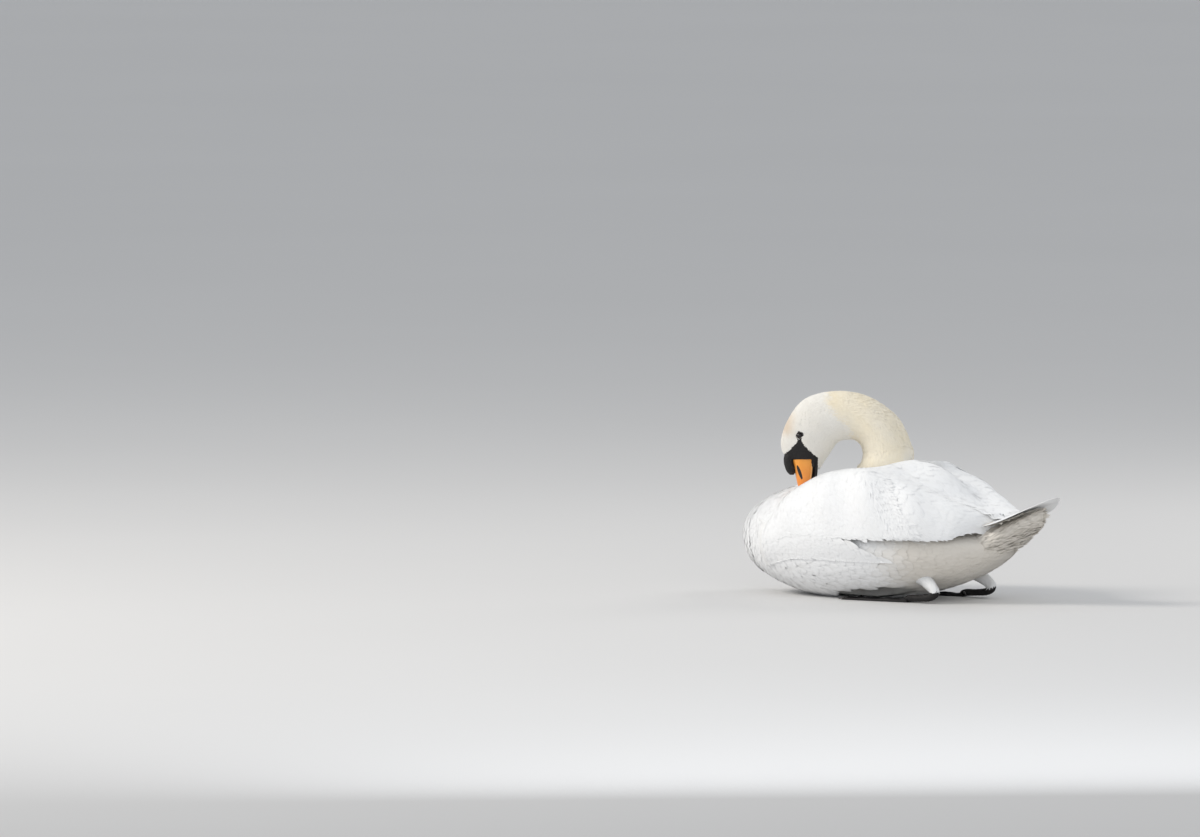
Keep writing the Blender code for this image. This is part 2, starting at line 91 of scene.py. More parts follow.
EYE_SHIFT = 0.0010  # the balls sit this far behind their solids' middles
FOOT_LENGTH = 0.150
FOOT_HEEL_X = 0.150
FOOT_HALF = 0.030
FOOT_Y = 0.088
COAT_DEPTH = 0.0036  # the skin lies this far inside the solids on the body
FACE_DEPTH = 0.0016  # and this far on the head, where the coat is thin
BARE_DEPTH = 0.0065  # deeper still behind the bare black face, which is a piece of its own
SKIN_VOXEL = 0.0034  # size of the cells in which the solids are joined to one skin

chance = np.random.default_rng(7)

# ---------------------------------------------------------------- shared shapes


def swell(t, power, root):
    """1 at t = 0, falling to 0 at t = 1 along a superellipse: (1 - t^power)^root."""
    return np.clip(1 - np.abs(t) ** power, 0, 1) ** root


def ease(t):
    """0 below t = 0 and 1 above t = 1, with level ends: t^2 (3 - 2t)."""
    t = np.clip(t, 0, 1)
    return t * t * (3 - 2 * t)


def through(stations, places):
    """Smooth curve (Catmull-Rom cubic) through the rows of a table, read at places counted in rows."""
    rows = np.array(stations, float)
    rows = np.vstack([2 * rows[0] - rows[1], rows, 2 * rows[-1] - rows[-2]])
    places = np.asarray(places, float)
    start = np.clip(np.floor(places).astype(int), 0, len(rows) - 4)
    t = (places - start)[:, None]
    a, b, c, d = (rows[start + k] for k in range(4))
    return 0.5 * (2 * b + (c - a) * t + (2 * a - 5 * b + 4 * c - d) * t**2 + (3 * b - a - 3 * c + d) * t**3)


def upright_plane(back, rise, side=0.0):
    """Point of the head's plane: back along it, rise above the water, side out to the head's left."""
    side = ARCH_SIDE + side
    x = back * math.cos(ARCH_TURN) + side * math.sin(ARCH_TURN)
    y = back * math.sin(ARCH_TURN) - side * math.cos(ARCH_TURN)
    return np.stack([x, y, rise + WATERLINE + 0 * x], axis=-1)


def unit(vectors):
    """Each vector divided by its own length."""
    return vectors / np.maximum(np.linalg.norm(vectors, axis=-1, keepdims=True), 1e-12)


def signed_power(value, power):
    """The value's size to a power, with its sign kept."""
    return np.sign(value) * np.abs(value) ** power


# ---------------------------------------------------------------- forms of the body

# Each form gives the outer face of one part of the plumage, as points worked out from two parameters.


def trunk_form(u, v):
    """Trunk: u runs from breast (0) to vent (1), v is the angle round it from the right side over the back.

    Half width and height follow superellipses of the length, and the section is cos and sin to a power."""
    u = np.clip(u, 0.0005, 0.9995)
    x = (BREAST_X + VENT_X) / 2 - (VENT_X - BREAST_X) / 2 * np.cos(math.pi * u)
    ahead = (WIDEST_X - x) / (WIDEST_X - BREAST_X)
    behind = (x - WIDEST_X) / (VENT_X - WIDEST_X)
    front = swell(np.maximum(ahead, 0), 2.0, 0.5)
    width = HALF_WIDTH * np.where(x < WIDEST_X, front, swell(np.maximum(behind, 0), 2.3, 0.62))
    saddle = ease((x + 0.17) / 0.10)
    rise = (BREAST_RISE + (BACK_RISE - BREAST_RISE) * saddle)
    rise = rise * np.where(x < WIDEST_X, front, swell(np.maximum(behind, 0), 2.2, 0.6))
    drop = KEEL * np.where(x < WIDEST_X, front, swell(np.maximum(behind, 0), 1.9, 0.75))
    across = signed_power(np.cos(v), 0.93)
    upright = signed_power(np.sin(v), 0.93)
    z = WIDEST_Z + np.where(upright > 0, rise, drop) * upright + WATERLINE
    return np.stack([x, width * across, np.maximum(z, 0.0)], axis=-1)


def wing_ridge(x):
    """Height of the wing's ridge, afloat: a superellipse up to the peak, then a falling power curve."""
    front = swell(np.clip((WING_PEAK_X - x) / (WING_PEAK_X - WING_RIDGE_X), 0, 1), 2.1, 0.52)
    back = 1 - 0.58 * (np.clip(x - WING_PEAK_X, 0, 1) / 0.24) ** 1.15
    return WING_PEAK_Z * np.where(x < WING_PEAK_X, front, back)


def wing_side(x):
    """Half width of the pair of wings, a superellipse each way from its middle."""
    front = swell(x / 0.305, 2.2, 0.5)
    back = swell(x / (WING_END_X + 0.012), 2.4, 0.5)
    return WING_HALF_WIDTH * np.where(x < 0, front, back)


def flank_side(x, z):
    """Half width of the trunk at a length and a height afloat: a superellipse of the height."""
    ahead = np.maximum((WIDEST_X - x) / (WIDEST_X - BREAST_X), 0)
    behind = np.maximum((x - WIDEST_X) / (VENT_X - WIDEST_X), 0)
    width = HALF_WIDTH * np.where(x < WIDEST_X, swell(ahead, 2.0, 0.5), swell(behind, 2.3, 0.62))
    drop = KEEL * np.where(x < WIDEST_X, swell(ahead, 2.0, 0.5), swell(behind, 1.9, 0.75)) + 0.001
    return width * swell(np.clip((z - WIDEST_Z) / drop, -1, 1), 2.15, 0.465)


def back_mound(x, ridge):
    """Height of the middle of the back, afloat: a mound behind the neck, two power curves from its top,
    that runs out into the ridge's line."""
    before = 0.35 * (np.clip(MOUND_X - x, 0, 1) / 0.10) ** 2
    behind = 0.62 * (np.clip(x - MOUND_X, 0, 1) / 0.24) ** 1.4
    share = 1 - ease((x - 0.15) / 0.11)
    return share * MOUND_Z * (1 - before - behind) + (1 - share) * 0.90 * ridge


def wing_form(hand):
    """The wing's outer face: u runs from its front (0) to its end (1), v from the hem (0) over the
    ridge (1) down the inner slope (2). The outer part is a quarter of a superellipse, the slope half a
    cosine wave with a furrow of sine squared between ridge and mound. Below the hem (v to -1) it eases
    in to the flank. Slanting folds, a sine of length and height together, swell the outer part, and its
    front closes on to the flank."""

    def form(u, v):
        """Points at each u and v, as told above."""
        ahead = (WING_END_X - WING_FRONT_X) * np.minimum(u, 0)
        x = WING_FRONT_X + (WING_END_X - WING_FRONT_X) * np.clip(u, 0, 1)
        ridge = wing_ridge(x)
        side = wing_side(x)
        crest = 0.64 * side
        hem = WING_HEM_Z * ease((x + 0.2) / 0.14) + 0.030 * ease((x - 0.24) / 0.07)
        parted = 1 - ease((x - NECK_BED_END[hand]) / 0.042)
        inner_y = 0.0012 + 0.0595 * parted
        inner_z = 0.64 * ridge * parted + back_mound(x, ridge) * (1 - parted)
        furrow = 0.010 * (1 - parted) * ease((x - 0.08) / 0.05) * (1 - ease((x - 0.20) / 0.08))
        up = np.clip(v, 0, 1) * math.pi / 2
        over = np.clip(v - 1, 0, 1)
        outer = v <= 1
        y = np.where(outer, crest + (side - crest) * np.cos(up) ** 0.8, crest + (inner_y - crest) * over)
        fall = (1 - np.cos(math.pi * over)) / 2
        slope = ridge + (inner_z - ridge) * fall - furrow * np.sin(math.pi * over) ** 2
        z = np.where(outer, hem + (ridge - hem) * np.sin(up), slope)
        below = np.clip(-v, 0, 1)
        low = hem - 0.050 * below
        y = np.where(v < 0, side + (flank_side(x, low) + 0.0015 - side) * ease(below), y)
        z = np.where(v < 0, low, z)
        clear = ease((x + 0.24) / 0.26) * (1 - ease((x - 0.20) / 0.09)) * np.sin(math.pi * np.clip(v, 0, 1))
        fold = WING_FOLD * clear * np.sin(2 * math.pi * (x / 0.095 + 0.55 * v))
        y = y + fold * np.cos(up)
        z = z + fold * np.sin(up)
        x = x + ahead
        flank = flank_side(x, z) + WING_LAP_GAP
        y = np.where((v < 1) & (y > flank), flank + (y - flank) * ease((x - WING_LAP_X) / WING_LAP), y)
        return np.stack([x, hand * y, z + WATERLINE], axis=-1)

    return form


def bed_form(hand):
    """Feathered bed beside the neck: u runs back along it, v from the wing's inner edge (0) in under
    the neck (1), sinking as an eased step."""

    def form(u, v):
        """Points at each u and v, as told above."""
        x = -0.19 + (NECK_BED_END[hand] + 0.040 + 0.19) * u
        y = 0.066 - 0.054 * v
        z = 0.64 * wing_ridge(x) - 0.003 - 0.034 * ease(v)
        return np.stack([x, hand * y, z + WATERLINE], axis=-1)

    return form


def back_form(u, v):
    """Saddle over the middle of the back: u runs from behind the neck (0) to the tail (1), v from left
    (-1) to right (1). Each side is its wing's inner slope, and an eased step joins the two between
    their inner edges."""
    x = 0.040 + 0.275 * u
    y = 0.006 + 0.054 * v
    heights = []
    for hand in (-1, 1):
        crest = 0.64 * wing_side(x)
        inner = 0.0012 + 0.0595 * (1 - ease((x - NECK_BED_END[hand]) / 0.042))
        over = np.clip((crest - hand * y) / (crest - inner), 0, 1)
        along = (x - WING_FRONT_X) / (WING_END_X - WING_FRONT_X)
        heights.append(wing_form(hand)(along, 1 + over)[..., 2])
    share = ease((y + 0.006) / (0.012 + inner))
    return np.stack([x, y, heights[0] * (1 - share) + heights[1] * share], axis=-1)


def tail_line(x):
    """Height of the tail's middle, afloat: level at the root, lifting to the tip as t^1.5."""
    t = np.maximum(x - TAIL_ROOT_X, 0) / (TAIL_TIP_X - TAIL_ROOT_X)
    return TAIL_ROOT_Z + (TAIL_TIP_Z - TAIL_ROOT_Z) * t**1.5


def undertail_form(u, v):
    """Soft feathers under the tail: oval sections between a roof and a sole height along u, v the angle."""
    u = np.clip(u, 0, 0.998)
    x = 0.262 + 0.130 * u
    half = 0.056 * swell(u, 2.1, 0.60) + 0.002
    sole = -0.018 + 0.100 * ease(u * 0.64 + 0.02) ** 1.05
    roof = tail_line(x) - 0.009
    sole = np.minimum(sole, roof - 0.003)
    z = (roof + sole) / 2 + (roof - sole) / 2 * np.sin(v) + WATERLINE
    return np.stack([x, half * np.cos(v), z], axis=-1)


# The neck lies along the back from the breast, then rises into the arch, where the outer line is the nape,
# crown and forehead, and the inner line the throat and chin.
LOWER_NECK = (
    # x, y, height afloat, half depth, half width, direction to the outer side
    (-0.225, 0.000, 0.036, 0.052, 0.056, -0.50, 0.00, -0.87),
    (-0.165, 0.000, 0.067, 0.052, 0.052, -0.30, 0.00, -0.95),
    (-0.100, 0.002, 0.079, 0.048, 0.047, -0.10, 0.00, -1.00),
    (-0.042, 0.006, 0.088, 0.047, 0.044, 0.32, 0.05, -0.94),
    (0.000, 0.010, 0.115, 0.047, 0.042, 0.72, 0.30, -0.62),
)
UPPER_NECK = (
    # outer: back, height; inner: back, height; half width
    (0.074, 0.162, -0.028, 0.148, 0.041),
    (0.069, 0.190, -0.021, 0.171, 0.040),
    (0.047, 0.236, -0.026, 0.188, 0.039),
    (0.006, 0.270, -0.035, 0.196, 0.037),
    (-0.030, 0.285, -0.047, 0.198, 0.035),
    (-0.066, 0.289, -0.059, 0.197, 0.034),
    (-0.103, 0.285, -0.067, 0.194, 0.034),
    (-0.137, 0.270, -0.073, 0.189, 0.034),
    (-0.163, 0.235, -0.079, 0.180, 0.032),
    (-0.176, 0.198, -0.087, 0.167, 0.027),
    (-0.173, 0.172, -0.096, 0.154, 0.0215),
    (-0.165, 0.164, -0.104, 0.140, 0.0185),
)
NECK_ROWS = len(LOWER_NECK) + len(UPPER_NECK)
HEAD_START = 9.55


def neck_table():
    """The neck's middle point, direction to the outer side, half depth and half width, row by row."""
    lower = np.array(LOWER_NECK)
    low = np.column_stack([lower[:, 0], lower[:, 1], lower[:, 2] + WATERLINE, lower[:, 5:8], lower[:, 3:5]])
    upper = np.array(UPPER_NECK)
    outer = upright_plane(upper[:, 0], upper[:, 1])
    inner = upright_plane(upper[:, 2], upper[:, 3])
    depth = np.linalg.norm(outer - inner, axis=1) / 2
    high = np.column_stack([(outer + inner) / 2, unit(outer - inner), depth, upper[:, 4]])
    return np.vstack([low, high])


NECK_FINE = np.linspace(0, NECK_ROWS - 1, 961)  # places at which the neck's line is worked out once
NECK_LINE = through(neck_table(), NECK_FINE)
NECK_AHEAD = unit(np.gradient(NECK_LINE[:, :3], axis=0))
NECK_OUT = unit(NECK_LINE[:, 3:6])
NECK_SIDE = unit(np.cross(NECK_AHEAD, NECK_OUT))


def neck_form(u, v):
    """Neck and head: u is the place in rows from breast to face, v the angle from the outer side.

    Each section is an oval about the middle line; on the head it is narrower at the crown."""
    u = np.clip(u, 0, NECK_ROWS - 1)
    read = [np.interp(u, NECK_FINE, column) for column in np.column_stack([NECK_LINE, NECK_OUT, NECK_SIDE]).T]
    middle = np.stack(read[0:3], axis=-1)
    out = np.stack(read[8:11], axis=-1)
    side = np.stack(read[11:14], axis=-1)
    egg = 0.10 * ease((u - HEAD_START) / 1.5)
    deep = read[6] * np.cos(v)
    wide = read[7] * np.sin(v) * (1 - egg * np.cos(v))
    return middle + deep[..., None] * out + wide[..., None] * side


def slopes(form, u, v, step_u, step_v):
    """The form's two tangents by central differences, and its unit normal."""
    along = (form(u + step_u, v) - form(u - step_u, v)) / (2 * step_u)
    across = (form(u, v + step_v) - form(u, v - step_v)) / (2 * step_v)
    return along, across, unit(np.cross(along, across))


# ---------------------------------------------------------------- feathers


def round_grid(stations, around):
    """u at the stations by v at even steps all the way round."""
    return np.meshgrid(stations, np.linspace(0, 2 * math.pi, around, endpoint=False), indexing="ij")


def tube_faces(rings, around):
    """Triangles of a closed tube of rings, with a point first and a point last that close its ends."""
    k = np.arange(around)
    after = (k + 1) % around
    ring = np.arange(rings - 1)[:, None]
    low = 1 + ring * around
    high = low + around
    sides = np.concatenate(
        [
            np.stack([low + k, low + after, high + after], axis=-1).reshape(-1, 3),
            np.stack([low + k, high + after, high + k], axis=-1).reshape(-1, 3),
        ]
    )
    last = 1 + (rings - 1) * around
    start = np.column_stack([0 * k, 1 + after, 1 + k])
    end = np.column_stack([last + k, last + after, 0 * k + last + around])
    return np.vstack([start, sides, end])


def outward_faces(points, faces):
    """The triangles, turned the other way if the closed shape came out inside out."""
    a, b, c = (points[faces[:, n]] for n in range(3))
    return faces if np.einsum("ij,ij->i", a, np.cross(b, c)).sum() > 0 else faces[:, ::-1]


def capped(rings):
    """The points of a grid of rings, between the middles of its first and its last."""
    return np.vstack([rings[0].mean(axis=0)[None], rings.reshape(-1, 3), rings[-1].mean(axis=0)[None]])


def sunk_by(rings, depth):
    """Rings with each point drawn towards its ring's middle by a depth."""
    return rings + unit(rings.mean(axis=1, keepdims=True) - rings) * depth[..., None]


def unwrapped(u, v):
    """A root's place on an unwrap of its form: u from 0 to 1 along it, v the angle round it."""
    return np.column_stack([0.02 + 0.96 * u, 0.02 + 0.96 * (v % (2 * math.pi)) / (2 * math.pi)])


def blade(stations, widths, around, thick):
    """A closed feather blade: (places along it, places across it, heights, triangles).

    Its rings are flat ovals at the stations, as wide as the widths say, between a point at the root and
    one at the tip. Heights are shares of the half width, and the oval is cosine across by sine times
    thick."""
    turn = 2 * math.pi * np.arange(around) / around
    inner = np.array(stations)[:, None] + 0 * turn
    across = -np.array(widths)[:, None] * np.cos(turn)
    height = thick * np.array(widths)[:, None] ** 0.5 * np.sin(turn)
    along = np.concatenate([[0.0], inner.ravel(), [1.0]])
    across = np.concatenate([[0.0], across.ravel(), [0.0]])
    height = np.concatenate([[0.0], height.ravel(), [0.0]])
    points = np.column_stack([along, across, height])
    return along, across, height, outward_faces(points, tube_faces(len(stations), around))


TUFT = blade((0.30, 0.75), (0.9, 0.75), 3, 0.35)
LOCK = blade((0.18, 0.50, 0.82), (0.8, 1.0, 0.55), 4, 0.22)
PLUME = blade((0.10, 0.35, 0.60, 0.82, 0.95), (0.55, 0.95, 1.0, 0.78, 0.42), 6, 0.06)
QUILL = blade(
    (0.04, 0.16, 0.32, 0.48, 0.64, 0.78, 0.89, 0.96), (0.35, 0.70, 0.88, 0.97, 1.0, 0.93, 0.72, 0.42), 8, 0.05
)


def staggered(u_ends, rows, v_ends, columns, jitter=0.35):
    """Roots on a staggered grid: even rows along u, each next row shifted half a step across, then
    jittered."""
    row, column = np.meshgrid(np.arange(rows), np.arange(columns), indexing="ij")
    u = (row + 0.5 + jitter * chance.uniform(-0.5, 0.5, row.shape)) / rows
    v = (column + 0.25 + 0.5 * (row % 2) + jitter * chance.uniform(-0.5, 0.5, row.shape)) / columns
    u = u_ends[0] + (u_ends[1] - u_ends[0]) * u
    v = v_ends[0] + (v_ends[1] - v_ends[0]) * v
    return u.ravel(), v.ravel()


def grow(form, outward, u, v, flow, length, width, shape, root_lift, tip_lift, limits, place, marks, **bent):
    """Feathers laid on a form, all worked out as arrays.

    A feather runs from its root (u, v) along the flow, a direction in space laid flat on the form. A
    point at share s of its length and t of its half width goes to the form's point that far off along
    its tangents, then out by root_lift + (tip_lift - root_lift) s^1.5, plus its blade's thickness. It
    swings by a random angle of spread, curves sideways by curve s^2, droops by sag s^2 down, and cups
    by cup (1 - t^2)."""
    spread = bent.get("spread", 0.08)
    curve = bent.get("curve", 0.04)
    count = len(u)
    along_u, along_v, normal = slopes(form, u, v, limits[2], limits[3])
    normal = normal * outward
    base_u = unit(along_u)
    side_v = along_v - (along_v * base_u).sum(1)[:, None] * base_u
    base_v = unit(side_v)
    ahead = flow - (flow * normal).sum(1)[:, None] * normal
    ahead = unit(ahead)
    swing = chance.normal(0, spread, count)[:, None]
    beside = np.cross(normal, ahead)
    ahead = ahead * np.cos(swing) + beside * np.sin(swing)
    beside = np.cross(normal, ahead)
    s, t, thick, faces = shape
    curl = chance.normal(0, curve, count)[:, None]
    reach = s * length[:, None]
    off = t * width[:, None] / 2 + curl * s**2 * length[:, None]
    step = reach[..., None] * ahead[:, None] + off[..., None] * beside[:, None]
    dv = (step * base_v[:, None]).sum(-1) / np.maximum((along_v * base_v).sum(1), 1e-6)[:, None]
    du = (step * base_u[:, None]).sum(-1) - dv * (along_v * base_u).sum(1)[:, None]
    du = du / np.maximum(np.linalg.norm(along_u, axis=1), 1e-6)[:, None]
    wanted = u[:, None] + du
    held = np.clip(wanted, limits[0], limits[1])
    points = form(held, v[:, None] + dv) + (wanted - held)[..., None] * along_u[:, None]
    lift = root_lift + (tip_lift - root_lift)[:, None] * s**1.5
    lift = lift + thick * width[:, None] / 2 + bent.get("cup", 0.0) * width[:, None] * (1 - t**2)
    points = points + lift[..., None] * normal[:, None]
    points[..., 2] -= np.asarray(bent.get("sag", 0.0)) * np.ones((count, 1)) * s**2
    number = len(s)
    patch = np.stack([t * 0.0015 + 0 * length[:, None], (s - 0.5) * 0.003 + 0 * length[:, None]], axis=-1)
    made = {
        "points": points.reshape(-1, 3),
        "faces": (faces[None] + number * np.arange(count)[:, None, None]).reshape(-1, 3),
        "bake": (place[:, None] + patch).reshape(-1, 2),
        "along": np.tile(s, count),
        "across": np.tile(t, count),
        "chance": np.repeat(chance.uniform(0, 1, count), number),
    }
    for mark, value in marks.items():
        made[mark] = np.repeat(value * np.ones(count), number)
    return made


def joined(parts):
    """Several grown lots as one, their triangles counted on."""
    start = np.cumsum([0] + [len(part["points"]) for part in parts[:-1]])
    whole = {key: np.concatenate([part[key] for part in parts]) for key in parts[0] if key != "faces"}
    whole["faces"] = np.concatenate([part["faces"] + first for part, first in zip(parts, start)])
    return whole


def mesh_piece(name, points, faces, finish, replaced=(), crease=50):
    """A piece of the model from arrays of points and triangles, riding on the body."""
    mesh = bpy.data.meshes.new(name)
    mesh.vertices.add(len(points))
    mesh.vertices.foreach_set("co", np.asarray(points, np.float32).ravel())
    mesh.loops.add(3 * len(faces))
    mesh.loops.foreach_set("vertex_index", np.asarray(faces, np.int32).ravel())
    mesh.polygons.add(len(faces))
    mesh.polygons.foreach_set("loop_start", 3 * np.arange(len(faces), dtype=np.int32))
    mesh.update(calc_edges=True)
    mesh.shade_smooth()
    mesh.set_sharp_from_angle(angle=math.radians(crease))
    mesh.materials.append(finish)
    made = bpy.data.objects.new(name, mesh)
    bpy.context.scene.collection.objects.link(made)
    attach(made, "root")
    if replaced:
        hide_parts(*replaced)
    return made


def keep_mark(made, mark, values):
    """Keeps one number for each point of a piece, by name."""
    values = values.astype(np.float32)
    made.data.attributes.new(mark, "FLOAT", "POINT").data.foreach_set("value", values)


def coat_piece(name, parts, finish, replaced=()):
    """One piece of the coat: its grown lots, their marks as attributes, and each feather's patch in
    OFBake."""
    whole = joined(parts)
    made = mesh_piece(name, whole["points"], whole["faces"], finish, replaced, crease=70)
    for mark, values in whole.items():
        if mark not in ("points", "faces", "bake"):
            keep_mark(made, mark, values)
    layer = made.data.uv_layers.new(name="OFBake")
    layer.uv.foreach_set("vector", whole["bake"][whole["faces"].ravel()].astype(np.float32).ravel())
    print(name, len(whole["faces"]), "triangles")
    return made


# ---------------------------------------------------------------- finishes


def node(tree, kind, values=None, **settings):
    """A shader node with its settings, and its inputs set by name or number: a link for a socket, else
    a value."""
    made = tree.nodes.new(kind)
    for key, value in settings.items():
        setattr(made, key, value)
    for key, value in (values or {}).items():
        if isinstance(value, bpy.types.NodeSocket):
            tree.links.new(value, made.inputs[key])
        else:
            made.inputs[key].default_value = value
    return made


def math_of(tree, operation, a, b=0.0, c=0.0, clamp=False):
    """The result of one Math node."""
    return node(tree, "ShaderNodeMath", {0: a, 1: b, 2: c}, operation=operation, use_clamp=clamp).outputs[0]


def blend_of(tree, share, a, b):
    """Colour a turning to colour b by a share."""
    made = node(tree, "ShaderNodeMix", data_type="RGBA")
    for socket, value in ((made.inputs[0], share), (made.inputs[6], a), (made.inputs[7], b)):
        if isinstance(value, bpy.types.NodeSocket):
            tree.links.new(value, socket)
        else:
            socket.default_value = value
    return made.outputs[2]


def mark_of(tree, name):
    """A number kept on the piece's points."""
    return node(tree, "ShaderNodeAttribute", attribute_name=name).outputs["Fac"]


def place_of(tree):
    """The place on the model itself, in its own metres."""
    return node(tree, "ShaderNodeTexCoord").outputs["Object"]


def noise_of(tree, place, scale, detail):
    """Smooth noise of a place."""
    values = {"Vector": place, "Scale": scale, "Detail": detail}
    return node(tree, "ShaderNodeTexNoise", values).outputs["Fac"]


def ramp_of(tree, value, low, high, at_low, at_high):
    """A value carried in a straight line from between low and high to between at_low and at_high."""
    return node(tree, "ShaderNodeMapRange", {0: value, 1: low, 2: high, 3: at_low, 4: at_high}).outputs[0]


def dress(tree, surface, colour, height=None, strength=0.0, distance=0.0):
    """Colour and, where there is a height, its bump, both linked to the shader."""
    tree.links.new(colour, surface.inputs["Base Color"])
    if height is not None:
        relief = node(tree, "ShaderNodeBump", {"Height": height, "Strength": strength, "Distance": distance})
        tree.links.new(relief.outputs[0], surface.inputs["Normal"])


def shader(name, roughness=0.6, **constants):
    """A material with its Principled shader, and the shader's constant inputs by name."""
    made = bpy.data.materials.new(name)
    made.use_nodes = True
    surface = made.node_tree.nodes["Principled BSDF"]
    surface.inputs["Roughness"].default_value = roughness
    for key, value in constants.items():
        surface.inputs[key.replace("_", " ")].default_value = value
    return made, made.node_tree, surface


def vane_group():
    """Shader group of a feather's vane: slanted barbs as a height, and masks of the shaft and of the
    frayed rim.

    Barbs are a sine of the place along plus the distance from the shaft, and noise breaks them up."""
    tree = bpy.data.node_groups.new("vane", "ShaderNodeTree")
    for name, kind, start in (
        ("Barbs", "NodeSocketFloat", 40.0),
        ("Slant", "NodeSocketFloat", 0.35),
        ("Shaft", "NodeSocketFloat", 0.05),
    ):
        tree.interface.new_socket(name, in_out="INPUT", socket_type=kind).default_value = start
    # the last output carries the painted shade mark kept on the points
    for name in ("Height", "Shaft mask", "Rim", "Along", "Chance", "Cream", "Stain", "Painted shade"):
        tree.interface.new_socket(name, in_out="OUTPUT", socket_type="NodeSocketFloat")
    given = tree.nodes.new("NodeGroupInput")
    along = mark_of(tree, "along")
    beside = math_of(tree, "ABSOLUTE", mark_of(tree, "across"))
    luck = mark_of(tree, "chance")
    backwards = math_of(tree, "MULTIPLY", along, -1.0)
    slanted = math_of(tree, "MULTIPLY_ADD", beside, given.outputs["Slant"], backwards)
    waves = math_of(tree, "SINE", math_of(tree, "MULTIPLY", slanted, given.outputs["Barbs"]))
    place = place_of(tree)
    fluff = noise_of(tree, place, 420.0, 3.0)
    height = math_of(tree, "MULTIPLY_ADD", waves, 0.35, fluff)
    shaft = ramp_of(tree, beside, 0.0, given.outputs["Shaft"], 1.0, 0.0)
    rim = ramp_of(tree, beside, 0.55, 1.0, 0.0, 1.0)
    ends = tree.nodes.new("NodeGroupOutput")
    for name, value in (
        ("Height", height),
        ("Shaft mask", shaft),
        ("Rim", rim),
        ("Along", along),
        ("Chance", luck),
        ("Cream", mark_of(tree, "cream")),
        ("Stain", mark_of(tree, "stain")),
        ("Painted shade", mark_of(tree, "painted_shade")),
    ):
        tree.links.new(value, ends.inputs[name])
    return tree


VANE = vane_group()
CLEAN_WHITE = (0.90, 0.905, 0.91, 1)
SOFT_CREAM = (0.93, 0.83, 0.62, 1)
OCHRE_STAIN = (0.60, 0.36, 0.13, 1)
SHADE_GREY = (0.66, 0.60, 0.51, 1)


def feather_finish(name, barbs, slant, shaft, bump):
    """Feathers: clean white, creamed and stained as the marks say, greyed by painted shade where the marks
    put shadow, darker at the root by painted shade between overlapping feathers, with random tone, a darker
    shaft and barbs."""
    made, tree, surface = shader(name, 0.62, Sheen_Weight=0.25, Sheen_Roughness=0.5, Specular_IOR_Level=0.25)
    vane = node(tree, "ShaderNodeGroup", node_tree=VANE)
    for key, value in (("Barbs", barbs), ("Slant", slant), ("Shaft", shaft)):
        vane.inputs[key].default_value = value
    place = place_of(tree)
    drift = noise_of(tree, place, 28.0, 4.0)
    uneven = math_of(tree, "MULTIPLY_ADD", drift, 0.5, 0.75)
    cream = math_of(tree, "MULTIPLY", vane.outputs["Cream"], uneven, clamp=True)
    colour = blend_of(tree, cream, CLEAN_WHITE, SOFT_CREAM)
    colour = blend_of(tree, vane.outputs["Stain"], colour, OCHRE_STAIN)
    # painted shade: grey where the mark puts the feather in shadow under the wings and the tail
    colour = blend_of(tree, vane.outputs["Painted shade"], colour, SHADE_GREY)
    # painted shade: the root darkened where it lies under the next feather, plus random tone per feather and
    # a darker shaft
    root_shade_and_tone = ramp_of(tree, vane.outputs["Along"], 0.0, 0.55, 0.22, 0.0)
    root_shade_and_tone = math_of(tree, "MULTIPLY_ADD", vane.outputs["Chance"], 0.06, root_shade_and_tone)
    root_shade_and_tone = math_of(tree, "MULTIPLY_ADD", vane.outputs["Shaft mask"], 0.16, root_shade_and_tone, clamp=True)
    colour = blend_of(tree, root_shade_and_tone, colour, (0.62, 0.60, 0.55, 1))
    dress(tree, surface, colour, vane.outputs["Height"], bump, 0.0006)
    return made


# ---------------------------------------------------------------- skin


def skin_finish():
    """Pale skin and down under the feathers: warm white, mottled by noise, with a fine bump."""
    made, tree, surface = shader("pale skin and down", 0.75)
    place = place_of(tree)
    mottle = noise_of(tree, place, 60.0, 5.0)
    colour = blend_of(tree, mottle, (0.80, 0.80, 0.78, 1), (0.68, 0.67, 0.63, 1))
    down = noise_of(tree, place, 500.0, 2.0)
    dress(tree, surface, colour, down, 0.5, 0.001)
    return made


